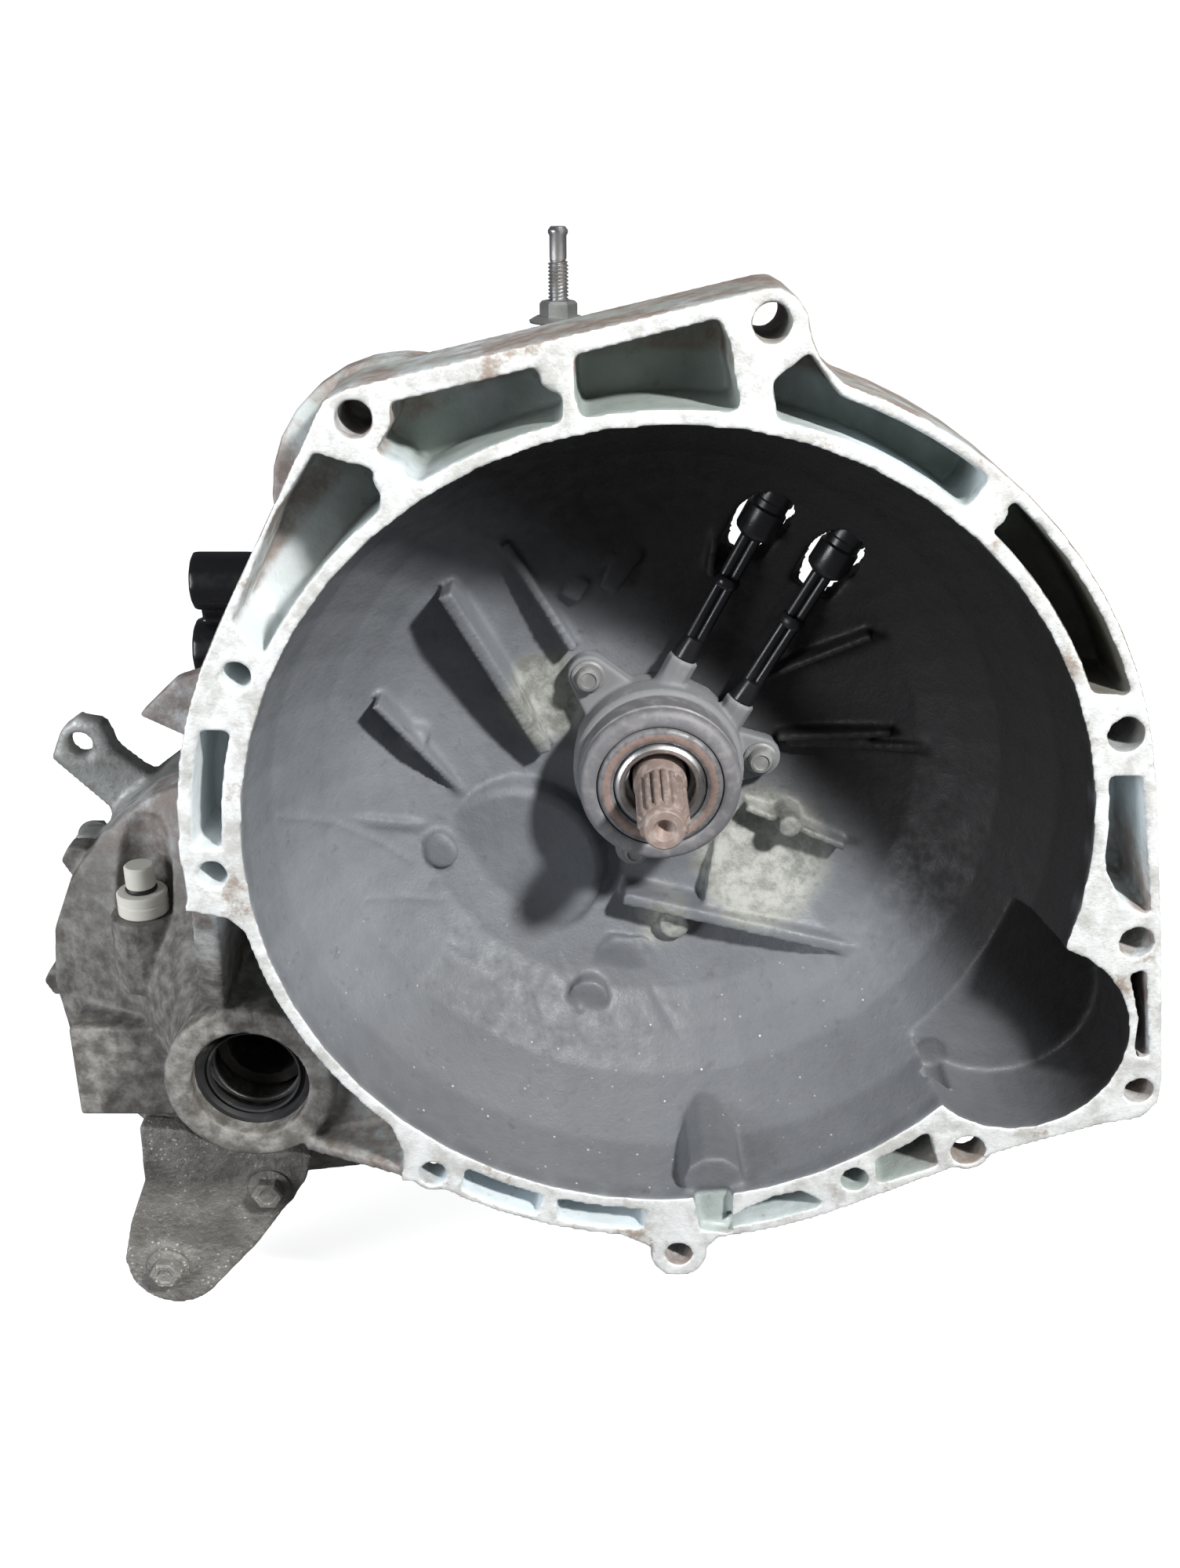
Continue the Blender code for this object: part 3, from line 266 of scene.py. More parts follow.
def finish_piece(obj, body, paint, sharp, replaced):
    obj.data.shade_smooth()
    obj.data.set_sharp_from_angle(angle=math.radians(sharp))
    obj.data.materials.clear()
    obj.data.materials.append(paint)
    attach(obj, body)
    if replaced:
        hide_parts(*replaced)


def apply_modifiers(obj):
    bpy.context.view_layer.update()
    graph = bpy.context.evaluated_depsgraph_get()
    mesh = bpy.data.meshes.new_from_object(obj.evaluated_get(graph))
    obj.modifiers.clear()
    obj.data = mesh


def cad_cage(node):
    cage = bmesh.new()
    cage.from_mesh(NODES[node].data)
    bmesh.ops.remove_doubles(cage, verts=cage.verts, dist=2e-6)
    return cage


def casting(name, node, body, paint, voxel, details=None, smooth=3):
    """A cast piece: the CAD shape and its added details fused into one skin with soft, rounded edges."""
    cage = cad_cage(node)
    if details:
        details(cage)
    obj = bpy.data.objects.new(name, mesh_from(name, cage))
    bpy.context.scene.collection.objects.link(obj)
    skin = obj.modifiers.new("skin", "REMESH")
    skin.mode = "VOXEL"
    skin.voxel_size = voxel * MM
    soft = obj.modifiers.new("soft", "SMOOTH")
    soft.factor = 0.5
    soft.iterations = smooth
    apply_modifiers(obj)
    finish_piece(obj, body, paint, NONE_SHARP, (node,))


# ---------------------------------------------------------------- material helpers

class Paint:
    """A node material under construction."""

    def __init__(self, name):
        self.material = bpy.data.materials.new(name)
        self.material.use_nodes = True
        self.tree = self.material.node_tree
        self.shader = self.tree.nodes["Principled BSDF"]
        coordinates = self.tree.nodes.new("ShaderNodeTexCoord")
        self.where = coordinates.outputs["Object"]
        self.normal_out = None

    def node(self, kind, **settings):
        made = self.tree.nodes.new(kind)
        for key, value in settings.items():
            setattr(made, key, value)
        return made

    def link(self, source, target):
        self.tree.links.new(source, target)

    def feed(self, socket, value):
        if isinstance(value, bpy.types.NodeSocket):
            self.link(value, socket)
        else:
            socket.default_value = value

    def math(self, operation, first, second=0.0):
        made = self.node("ShaderNodeMath", operation=operation)
        self.feed(made.inputs[0], first)
        self.feed(made.inputs[1], second)
        return made.outputs[0]

    def noise(self, scale, detail, rough):
        made = self.node("ShaderNodeTexNoise")
        made.inputs["Scale"].default_value = scale
        made.inputs["Detail"].default_value = detail
        made.inputs["Roughness"].default_value = rough
        self.link(self.where, made.inputs["Vector"])
        return made.outputs["Fac"]

    def cells(self, scale):
        made = self.node("ShaderNodeTexVoronoi")
        made.inputs["Scale"].default_value = scale
        self.link(self.where, made.inputs["Vector"])
        return made.outputs["Distance"]

    def axis(self, name):
        split = self.node("ShaderNodeSeparateXYZ")
        self.link(self.where, split.inputs[0])
        return split.outputs[name]

    def facing(self, name):
        """A component of the surface's normal, in the frame's axes."""
        geometry = self.node("ShaderNodeNewGeometry")
        split = self.node("ShaderNodeSeparateXYZ")
        self.link(geometry.outputs["Normal"], split.inputs[0])
        return split.outputs[name]

    def ramp(self, value, low, high, first=0.0, second=1.0):
        made = self.node("ShaderNodeMapRange", interpolation_type="SMOOTHSTEP")
        self.feed(made.inputs["Value"], value)
        made.inputs["From Min"].default_value = low
        made.inputs["From Max"].default_value = high
        made.inputs["To Min"].default_value = first
        made.inputs["To Max"].default_value = second
        return made.outputs["Result"]

    def mix(self, share, first, second):
        made = self.node("ShaderNodeMix", data_type="RGBA")
        self.feed(made.inputs["Factor"], share)
        for socket, value in ((made.inputs[6], first), (made.inputs[7], second)):
            self.feed(socket, (*value, 1.0) if isinstance(value, tuple) else value)
        return made.outputs[2]

    def radius(self, centre):
        """The distance from an axis along Y through centre, in metres."""
        x = self.math("SUBTRACT", self.axis("X"), centre[0] * MM)
        z = self.math("SUBTRACT", self.axis("Z"), centre[1] * MM)
        square = self.math("ADD", self.math("MULTIPLY", x, x), self.math("MULTIPLY", z, z))
        return self.math("SQRT", square)

    def bump(self, height, strength, distance):
        made = self.node("ShaderNodeBump")
        made.inputs["Strength"].default_value = strength
        made.inputs["Distance"].default_value = distance
        self.link(height, made.inputs["Height"])
        if self.normal_out is not None:
            self.link(self.normal_out, made.inputs["Normal"])
        self.normal_out = made.outputs["Normal"]

    def done(self, colour, roughness, metallic):
        for name, value in (("Base Color", colour), ("Roughness", roughness), ("Metallic", metallic)):
            self.feed(self.shader.inputs[name], (*value, 1.0) if isinstance(value, tuple) else value)
        if self.normal_out is not None:
            self.link(self.normal_out, self.shader.inputs["Normal"])
        return self.material


def clutch_space_colour(paint, broad, fine):
    """Dusty grey with pale specks low down, bare metal round the release cylinder, and at the upper right soot
    with a painted shadow of the rim.
    """
    dust = paint.mix(paint.ramp(broad, 0.3, 0.7), (0.155, 0.165, 0.180), (0.235, 0.248, 0.268))
    dust = paint.mix(paint.ramp(fine, 0.55, 0.85), dust, (0.125, 0.120, 0.118))
    deep = paint.math("MULTIPLY", paint.ramp(paint.axis("Z"), -0.06, -0.12), 0.45)
    dust = paint.mix(deep, dust, (0.085, 0.086, 0.090))
    specks = paint.ramp(paint.cells(250.0), 0.07, 0.17, 1.0, 0.0)
    low = paint.ramp(paint.axis("Z"), -0.02, -0.12)
    scattered = paint.math("MULTIPLY", paint.ramp(broad, 0.45, 0.6), paint.ramp(fine, 0.50, 0.62))
    specks = paint.math("MULTIPLY", specks, paint.math("MULTIPLY", low, scattered))
    inside = paint.mix(specks, dust, (0.62, 0.62, 0.63))
    for centre, reach in BARE_PATCHES:
        edge = paint.math("ADD", paint.radius(centre), paint.math("MULTIPLY", fine, 0.02))
        clean = paint.ramp(edge, reach * MM, (reach + 10.0) * MM, 1.0, 0.0)
        bare = paint.mix(paint.ramp(fine, 0.35, 0.65), (0.21, 0.215, 0.195), (0.40, 0.41, 0.385))
        inside = paint.mix(clean, inside, bare)
    # The upper right is near black: partly soot, partly the rim's cast shadow painted into the colour.
    upper = paint.ramp(paint.math("ADD", paint.axis("Z"), paint.axis("X")), 0.005, 0.075)
    return paint.mix(paint.math("MULTIPLY", upper, 0.95), inside, (0.007, 0.005, 0.005))


def pocket_colour(paint, broad, fine):
    """Green-grey with pale worn patches, made paler on the left as painted light, and darker at the upper right.
    """
    pocket = paint.mix(paint.ramp(broad, 0.42, 0.62), (0.34, 0.385, 0.365), (0.70, 0.765, 0.80))
    pocket = paint.mix(paint.ramp(fine, 0.58, 0.8), pocket, (0.22, 0.21, 0.17))
    # Painted light: the pockets on the left are made paler, as if their floors were lit.
    painted_light_left = paint.ramp(paint.axis("X"), -0.11, -0.15)
    pocket = paint.mix(paint.math("MULTIPLY", painted_light_left, 0.8), pocket, (0.80, 0.84, 0.86))
    # Darker brown towards the upper right.
    darker_upper_right = paint.ramp(paint.axis("X"), 0.105, 0.135)
    darker_upper_right = paint.math("MULTIPLY", darker_upper_right, paint.ramp(paint.axis("Z"), 0.02, 0.05))
    return paint.mix(paint.math("MULTIPLY", darker_upper_right, 0.8), pocket, (0.10, 0.085, 0.065))


def plain_cast_colour(paint, broad, fine):
    cast = paint.mix(paint.ramp(broad, 0.35, 0.65), (0.26, 0.265, 0.26), (0.46, 0.465, 0.455))
    return paint.mix(paint.ramp(fine, 0.55, 0.75), cast, (0.15, 0.135, 0.115))


def add_rim_rust(paint, colour, fine, outside):
    rim = paint.ramp(paint.noise(38.0, 5.0, 0.7), 0.34, 0.58)
    rust = paint.mix(paint.ramp(fine, 0.4, 0.7), (0.24, 0.17, 0.14), (0.36, 0.31, 0.29))
    return paint.mix(paint.math("MULTIPLY", paint.math("MULTIPLY", outside, rim), 0.85), colour, rust)


def add_left_grime(paint, colour, fine, outward):
    left = paint.ramp(paint.axis("X"), -0.09, -0.16)
    lower_left = paint.math("MULTIPLY", left, paint.ramp(paint.axis("Z"), -0.02, -0.07))
    grime = paint.mix(paint.ramp(fine, 0.32, 0.78), (0.12, 0.11, 0.098), (0.36, 0.355, 0.34))
    return paint.mix(paint.math("MULTIPLY", lower_left, outward), colour, grime)


def machined_colour(paint):
    """Bright metal with dull marks and brown stains."""
    mark = paint.noise(60.0, 5.0, 0.7)
    bright = paint.mix(paint.ramp(mark, 0.42, 0.62), (0.86, 0.88, 0.88), (0.62, 0.62, 0.60))
    stain = paint.math("MULTIPLY", paint.ramp(paint.noise(24.0, 6.0, 0.75), 0.56, 0.66), 0.75)
    return paint.mix(stain, bright, (0.30, 0.21, 0.15))


def bell_paint():
    """Cast aluminium with its machined flange.  The soot and painted shadow of the upper right cover the
    starter's pocket too.
    """
    paint = Paint("bell_cast_aluminium")
    broad = paint.noise(9.0, 5.0, 0.6)
    fine = paint.noise(140.0, 6.0, 0.65)
    grain = paint.noise(900.0, 3.0, 0.6)
    radius = paint.radius(INPUT)
    toward = paint.math("MULTIPLY", paint.facing("Y"), -1.0)
    starter = paint.ramp(paint.radius(STARTER), 0.0465, 0.0485)
    outward = paint.math("MULTIPLY", paint.ramp(radius, 0.1545, 0.1575), starter)
    outside = paint.math("MULTIPLY", paint.ramp(radius, 0.172, 0.176), starter)
    behind = paint.ramp(toward, -0.05, -0.30)
    front = paint.ramp(paint.axis("Y"), 0.0014, 0.0006)
    face = paint.math("MULTIPLY", front, paint.ramp(toward, 0.55, 0.85))
    inside = clutch_space_colour(paint, broad, fine)
    colour = paint.mix(outward, inside, pocket_colour(paint, broad, fine))
    colour = paint.mix(behind, colour, plain_cast_colour(paint, broad, fine))
    colour = add_rim_rust(paint, colour, fine, outside)
    colour = add_left_grime(paint, colour, fine, outward)
    colour = paint.mix(face, colour, machined_colour(paint))
    metal = paint.ramp(face, 0.0, 1.0, 0.12, 0.35)
    rough = paint.ramp(fine, 0.3, 0.7, 0.48, 0.74)
    paint.bump(grain, 0.35, 0.0004)
    paint.bump(fine, 0.45, 0.0012)
    return paint.done(colour, rough, metal)


def grimy_casting(name, dark, light, grime, metallic=0.35):
    paint = Paint(name)
    broad = paint.noise(16.0, 5.0, 0.6)
    fine = paint.noise(170.0, 6.0, 0.65)
    grain = paint.noise(800.0, 3.0, 0.6)
    colour = paint.mix(paint.ramp(broad, 0.35, 0.65), dark, light)
    colour = paint.mix(paint.ramp(fine, 0.48, 0.84), colour, grime)
    paint.bump(grain, 0.4, 0.0004)
    paint.bump(fine, 0.5, 0.0012)
    return paint.done(colour, paint.ramp(fine, 0.3, 0.7, 0.40, 0.75), metallic)


def grime_with_painted_glints(name):
    """Oil and road dirt: dark brown-grey with bright specks painted in as glinting bare metal, a painted
    highlight.
    """
    paint = Paint(name)
    broad = paint.noise(22.0, 5.0, 0.6)
    fine = paint.noise(260.0, 6.0, 0.7)
    colour = paint.mix(paint.ramp(broad, 0.35, 0.65), (0.17, 0.16, 0.145), (0.36, 0.35, 0.325))
    colour = paint.mix(paint.ramp(fine, 0.46, 0.86), colour, (0.085, 0.074, 0.062))
    # Painted highlights: pale specks of bare metal coloured near white as if glinting.
    specks = paint.ramp(paint.cells(330.0), 0.10, 0.26, 1.0, 0.0)
    painted_glints = paint.math("MULTIPLY", specks, paint.ramp(broad, 0.4, 0.6))
    colour = paint.mix(painted_glints, colour, (0.80, 0.79, 0.75))
    paint.bump(fine, 0.9, 0.0018)
    return paint.done(colour, paint.ramp(fine, 0.35, 0.65, 0.30, 0.62), 0.3)


def steel_paint(name, colour, worn, roughness, metallic, scale=120.0):
    paint = Paint(name)
    fine = paint.noise(scale, 5.0, 0.6)
    grain = paint.noise(scale * 9.0, 3.0, 0.6)
    shade = paint.mix(paint.ramp(fine, 0.45, 0.68), colour, worn)
    paint.bump(grain, 0.25, 0.0002)
    return paint.done(shade, paint.ramp(fine, 0.3, 0.7, roughness, min(roughness + 0.25, 1.0)), metallic)


def moulded_paint(name, colour, dusty, roughness, dust_from=0.55):
    paint = Paint(name)
    fine = paint.noise(90.0, 5.0, 0.65)
    grain = paint.noise(1400.0, 2.0, 0.5)
    shade = paint.mix(paint.ramp(fine, dust_from, dust_from + 0.2), colour, dusty)
    paint.bump(grain, 0.2, 0.00015)
    return paint.done(shade, paint.ramp(fine, 0.3, 0.7, roughness, roughness + 0.2), 0.0)


def release_ring_paint():
    """The turning ring of the release bearing: grey steel with a narrow band of rust round it."""
    paint = Paint("release_ring")
    fine = paint.noise(300.0, 5.0, 0.6)
    radius = paint.math("ADD", paint.radius(INPUT), paint.math("MULTIPLY", fine, 0.0012))
    band = paint.math("MULTIPLY", paint.ramp(radius, 0.0206, 0.0212), paint.ramp(radius, 0.0240, 0.0234))
    grey = paint.mix(paint.ramp(fine, 0.4, 0.65), (0.21, 0.21, 0.22), (0.13, 0.125, 0.125))
    rust = paint.mix(paint.ramp(fine, 0.4, 0.65), (0.33, 0.235, 0.205), (0.24, 0.18, 0.16))
    paint.bump(fine, 0.3, 0.0003)
    return paint.done(paint.mix(band, grey, rust), paint.ramp(fine, 0.3, 0.7, 0.45, 0.7), 0.3)


BELL = bell_paint()
CASE = grimy_casting("case_cast_aluminium", (0.30, 0.31, 0.30), (0.50, 0.51, 0.50), (0.14, 0.125, 0.105))
GRIME_AND_PAINTED_GLINTS = grime_with_painted_glints("oily_grime_and_painted_glints")
STEEL = steel_paint("machined_steel", (0.50, 0.50, 0.51), (0.34, 0.33, 0.32), 0.28, 1.0)
BOLT_STEEL = steel_paint("plated_bolt", (0.42, 0.43, 0.42), (0.26, 0.24, 0.21), 0.35, 0.9)
RUSTY = steel_paint("rusty_spline", (0.33, 0.255, 0.225), (0.46, 0.39, 0.365), 0.5, 0.35, 260.0)
RUST_RING = release_ring_paint()
BEARING = steel_paint("bearing_shell", (0.20, 0.20, 0.215), (0.28, 0.27, 0.27), 0.5, 0.3, 180.0)
BRIGHT_STEEL = steel_paint("bright_steel", (0.62, 0.62, 0.63), (0.40, 0.39, 0.38), 0.22, 1.0)
SLAVE = moulded_paint("slave_cylinder_shell", (0.21, 0.215, 0.225), (0.33, 0.335, 0.34), 0.6)
DUSTY_STEEL = steel_paint("dusty_steel", (0.25, 0.25, 0.25), (0.38, 0.385, 0.38), 0.5, 0.35)
DARK_IRON = steel_paint("dark_iron", (0.13, 0.125, 0.12), (0.20, 0.18, 0.16), 0.4, 0.8)
GREY_PLASTIC = moulded_paint("grey_moulding", (0.060, 0.060, 0.066), (0.12, 0.12, 0.125), 0.45)
BLACK_PLASTIC = moulded_paint("black_moulding", (0.014, 0.014, 0.016), (0.045, 0.045, 0.05), 0.20, 0.60)
BLUE_PLASTIC = moulded_paint("blue_moulding", (0.03, 0.14, 0.62), (0.05, 0.10, 0.30), 0.35, 0.60)
CREAM_PLASTIC = moulded_paint("cream_moulding", (0.90, 0.885, 0.80), (0.48, 0.42, 0.30), 0.38, 0.60)
RUBBER = moulded_paint("seal_rubber", (0.018, 0.018, 0.020), (0.06, 0.058, 0.055), 0.5)


# ---------------------------------------------------------------- bell housing

def bell_surface():
    mesh = NODES["bell_housing"].data
    return BVHTree.FromPolygons([v.co for v in mesh.vertices], [p.vertices for p in mesh.polygons])


def wall_station(surface, x, z):
    """The station of the first surface met along +Y at (x, z), starting in front of the flange plane."""
    hit = surface.ray_cast(Vector((x, -5.0, z)) * MM, Vector((0.0, 1.0, 0.0)))[0]
    return BACK_WALL if hit is None else hit.y / MM


def wall_web(cage, surface, start, end, top, width):
    """A rib whose crest runs from WEB_CREST to the station top, with its foot sunk in the wall behind it."""
    length = math.dist(start, end)
    crest = []
    foot = []
    for i in range(WEB_STEPS + 1):
        share = i / WEB_STEPS
        x, z = (near + (far - near) * share for near, far in zip(start, end))
        wall = wall_station(surface, x, z)
        crest.append((length * share, min(WEB_CREST + (top - WEB_CREST) * share, wall)))
        foot.append((length * share, wall + SUNK))
    web(cage, start, end, crest + foot[::-1], width, 0.0)


def bell_details(cage):
    """Webs, bosses and casting lumps of the clutch space, lugs round two flange holes and the blind end of a hole
    in the starter's pocket.
    """
    spread = (
        ((-82.0, -18.0), (-113.0, 34.0), 62.0), ((-104.0, -45.0), (-149.0, -1.0), 56.0),
        ((-92.0, -64.0), (-121.0, -53.0), 66.0), ((-79.0, -88.0), (-90.0, -80.0), 78.0),
        ((-60.0, -96.0), (-47.0, -128.0), 66.0), ((-44.0, -92.0), (-33.0, -114.0), 76.0),
        ((40.0, 33.0), (84.0, 57.0), 80.0), ((50.0, 8.0), (96.0, 14.0), 84.0),
        ((38.0, -24.0), (80.0, -38.0), 84.0), ((24.0, 122.0), (19.0, 80.0), 84.0),
    )
    surface = bell_surface()
    for start, end, top in spread:
        wall_web(cage, surface, start, end, top, 3.4)
    for centre, radius, start in (
        ((-100.0, 12.0), 5.5, 82), ((-91.5, -41.0), 7.5, 84), ((56.0, -28.5), 6.0, 84),
        ((-31.0, -119.0), 9.0, 78), ((-12.8, -96.0), 14.0, 91), ((8.0, -79.0), 9.0, 92),
    ):
        wall = min(wall_station(surface, centre[0] + dx, centre[1]) for dx in (-radius, 0.0, radius))
        if wall + SUNK > start:
            prism(cage, circle(radius, 28, centre), start, wall + SUNK, 1.0)
    for outline, start in (
        ([(-46, 86), (-33, 82), (-24, 92), (-28, 101), (-42, 100)], 92),
        ([(-26, 74), (-18, 70), (-6, 88), (-10, 94), (-20, 88)], 91),
        ([(-42, 70), (-33, 66), (-27, 76), (-34, 80)], 93),
        ([(-14, 98), (4, 94), (8, 106), (-8, 110)], 90),
    ):
        wall = min(wall_station(surface, x, z) for x, z in outline)
        if wall + SUNK > start:
            prism(cage, outline, start, wall + SUNK, 1.5)
    # Lugs round the two flange holes at the outline's edge
    for centre, bore in EDGE_HOLES:
        lug = [(bore, 0.2), (bore + 3.2, 0.2), (bore + 3.2, 15.0), (bore, 15.0)]
        lathe(cage, lug, 40, (centre[0], 0.0, centre[1]))
    # The blind end of the hole in the starter's pocket
    prism(cage, circle(10.0, 24, (113.0, -111.0)), 41, 50)


def make_bell():
    casting("bell_casting", "bell_housing", "case", BELL, 1.15, bell_details, 5)


# ---------------------------------------------------------------- gear case and cover

def case_details(cage):
    for angle in (20, 50, 80):
        foot = polar(56, angle, INPUT)
        head = polar(66, angle, INPUT)
        web(cage, foot, head, [(0, 150), (10, 150), (7, 296), (0, 298)], 4.0, 0.4)
    for angle in (250, 280, 310):
        foot = polar(68, angle, OUTPUT)
        head = polar(78, angle, OUTPUT)
        web(cage, foot, head, [(0, 178), (10, 178), (7, 296), (0, 298)], 4.0, 0.4)


def make_case():
    casting("gear_case_casting", "gear_case", "case", CASE, 2.2, case_details)
    casting("end_cover_casting", "end_cover", "case", CASE, 2.0)


def joint_lugs():
    lugs = [polar(108.2, angle, DIFF) for angle in (148, 183, 240, 300)]
    lugs += [polar(76.0, -80, OUTPUT), polar(64.0, -20, INPUT), polar(64.0, 75, INPUT)]
    return lugs + [polar(26.0, 120, RAIL)]


def cover_lugs():
    lugs = [polar(57, angle, INPUT) for angle in (-20, 80)]
    return lugs + [polar(64, angle, OUTPUT) for angle in (170, 235, 295)]


def make_case_bolts():
    cage = bmesh.new()
    for x, z in joint_lugs():
        bolt_head(cage, (x, CASE_BOLT_SEAT, z), (0, 1, 0), 6.2, 6.0, 8.0)
    piece("case_bolts", cage, "case", BOLT_STEEL)
    cage = bmesh.new()
    for x, z in cover_lugs():
        bolt_head(cage, (x, COVER_BOLT_SEAT, z), (0, 1, 0), 5.6, 5.5, 7.2)
    piece("cover_bolts", cage, "case", BOLT_STEEL)
    cage = bmesh.new()
    bolt_head(cage, (DIFF[0] + 10, 154, DIFF[1] - 106.4), (0, 0, -1), 9.0, 6.0, 12.0)
    piece("drain_plug", cage, "case", BOLT_STEEL)


# ---------------------------------------------------------------- input shaft and clutch release

def spline_ring(root_r, tip_r, station):
    step = 360.0 / SPLINE_TEETH
    tooth = ((-0.32, root_r), (-0.22, tip_r), (0.0, tip_r + 0.05), (0.22, tip_r), (0.32, root_r))
    points = []
    for i in range(SPLINE_TEETH):
        for share, radius in tooth:
            x, z = polar(radius, (i + share) * step)
            points.append((x, station, z))
    return points


def make_input_shaft():
    """The splined nose is new geometry.  The rest of the shaft is the CAD shape behind it."""
    cage = cad_cage("input_shaft")
    geometry = cage.verts[:] + cage.edges[:] + cage.faces[:]
    cut = bmesh.ops.bisect_plane(
        cage, geom=geometry, plane_co=(0.0, 0.075, 0.0), plane_no=(0.0, -1.0, 0.0), clear_outer=True,
    )
    rim = [item for item in cut["geom_cut"] if isinstance(item, bmesh.types.BMEdge)]
    bmesh.ops.edgeloop_fill(cage, edges=rim)
    nose = [
        (0.0, 26.0), (2.0, 24.6), (4.1, 20.6), (4.6, 20.1), (7.6, 20.1), (8.2, 20.7), (8.2, 24.6),
        (9.0, 26.4), (9.0, 60.0), (10.9, 63.5), (10.9, 76.0), (0.0, 76.0),
    ]
    lathe(cage, nose, 48)
    loft(cage, [
        spline_ring(8.6, 8.9, 25.4), spline_ring(9.0, 10.2, 27.4), spline_ring(9.0, 10.3, 56.0),
        spline_ring(8.6, 9.1, 59.0),
    ])
    piece("splined_input_shaft", cage, "input_train", RUSTY, replaced=("input_shaft",))


def make_release_bearing():
    cage = bmesh.new()
    shell = [
        (25.8, 61.6), (26.4, 61.1), (27.5, 61.0), (30.0, 61.1), (31.6, 61.9), (32.5, 63.3), (32.8, 65.0),
        (32.2, 65.6), (32.2, 66.4), (33.0, 67.0), (33.0, 78.0), (32.6, 78.4), (23.6, 78.4), (23.6, 69.6),
        (25.8, 69.6),
    ]
    lathe(cage, shell, 72)
    piece("release_bearing_shell", cage, "release_carrier", BEARING,
          replaced=("release_bearing",))
    cage = bmesh.new()
    race = [
        (20.3, 60.7), (21.4, 60.3), (23.4, 60.3), (24.6, 60.8), (25.3, 61.9), (25.3, 69.2), (19.0, 69.2),
        (19.0, 61.8),
    ]
    lathe(cage, race, 72)
    piece("release_bearing_ring", cage, "release_race", RUST_RING,
          replaced=("release_bearing_race",))
    cage = bmesh.new()
    lip = [
        (14.2, 64.0), (14.4, 61.9), (15.2, 60.9), (16.6, 60.6), (17.8, 61.2), (18.6, 62.4), (18.7, 68.8),
        (14.2, 68.8),
    ]
    lathe(cage, lip, 72)
    piece("release_bearing_lip", cage, "release_race", BRIGHT_STEEL)


def slave_details(cage):
    for x, z in SLAVE_BOLTS:
        rod(cage, (x, 92.9, z), (x, 101.0, z), 8.6, 24)
    for (x0, z0), (x1, z1) in PIPES:
        lean = Vector((x1 - x0, PIPE_LEAN, z1 - z0))
        start = Vector((x0, PIPE_STATION, z0)) - lean * 0.2
        rod(cage, start, start + lean * 0.27, 7.4, 20, 5.0)
    lathe(cage, [(30.5, 78.4), (33.6, 78.2), (35.2, 80.0), (35.2, 92.0), (30.5, 92.0)], 64)


def make_slave_cylinder():
    casting("slave_cylinder_body", "slave_cylinder", "case", SLAVE, 0.8, slave_details)
    for i, (x, z) in enumerate(SLAVE_BOLTS):
        cage = bmesh.new()
        rod(cage, (x, 90.0, z), (x, 108.0, z), 2.9, 16)
        seat = (x, SLAVE_BOLT_SEAT, z)
        washer = [(0.0, 0.0), (6.9, 0.0), (6.9, 0.9), (6.0, 1.6), (0.0, 1.6)]
        lathe(cage, washer, 32, seat, (0, -1, 0))
        head = [(0.0, 1.2), (5.2, 1.2), (5.2, 4.6), (4.5, 5.7), (3.4, 6.0), (3.1, 5.4), (0.0, 5.2)]
        lathe(cage, head, 32, seat, (0, -1, 0))
        piece(f"slave_bolt_{i + 1}", cage, "case", DUSTY_STEEL,
              replaced=(f"slave_cylinder_bolt_{i + 1}",))


def make_pipes():
    """Each line is a pair of moulded tubes side by side, with a flared root and a round connector."""
    for name, node, pipe in (("fluid_line", "fluid_pipe", PIPES[0]), ("bleed_line", "bleed_pipe", PIPES[1])):
        (x0, z0), (x1, z1) = pipe
        lean = Vector((x1 - x0, PIPE_LEAN, z1 - z0))
        base = Vector((x0, PIPE_STATION, z0))
        side = lean.cross(Vector((0.0, 1.0, 0.0))).normalized()
        heading = lean.normalized()
        cage = bmesh.new()
        for offset in (-2.1, 2.1):
            rod(cage, base + lean * 0.07 + side * offset, base + lean * 0.92 + side * offset, 2.3, 20)
        collar = [(0.0, 0.0), (4.6, 0.0), (5.4, 1.2), (5.4, 3.4), (4.6, 4.6), (0.0, 4.6)]
        lathe(cage, collar, 28, base + lean * 0.55, heading)
        plug = [
            (0.0, 0.0), (4.6, 0.0), (7.6, 2.0), (8.3, 3.4), (8.3, 13.0), (7.4, 14.0), (7.4, 16.5),
            (8.3, 17.5), (8.3, 25.0), (6.4, 27.0), (0.0, 27.0),
        ]
        lathe(cage, plug, 32, base + lean * 0.87, heading)
        root = [(0.0, 0.0), (5.4, 0.0), (5.0, 4.0), (4.2, 9.0), (0.0, 9.0)]
        lathe(cage, root, 28, base + lean * 0.075, heading)
        piece(name, cage, "case", BLACK_PLASTIC, replaced=(node,))


# ---------------------------------------------------------------- fittings

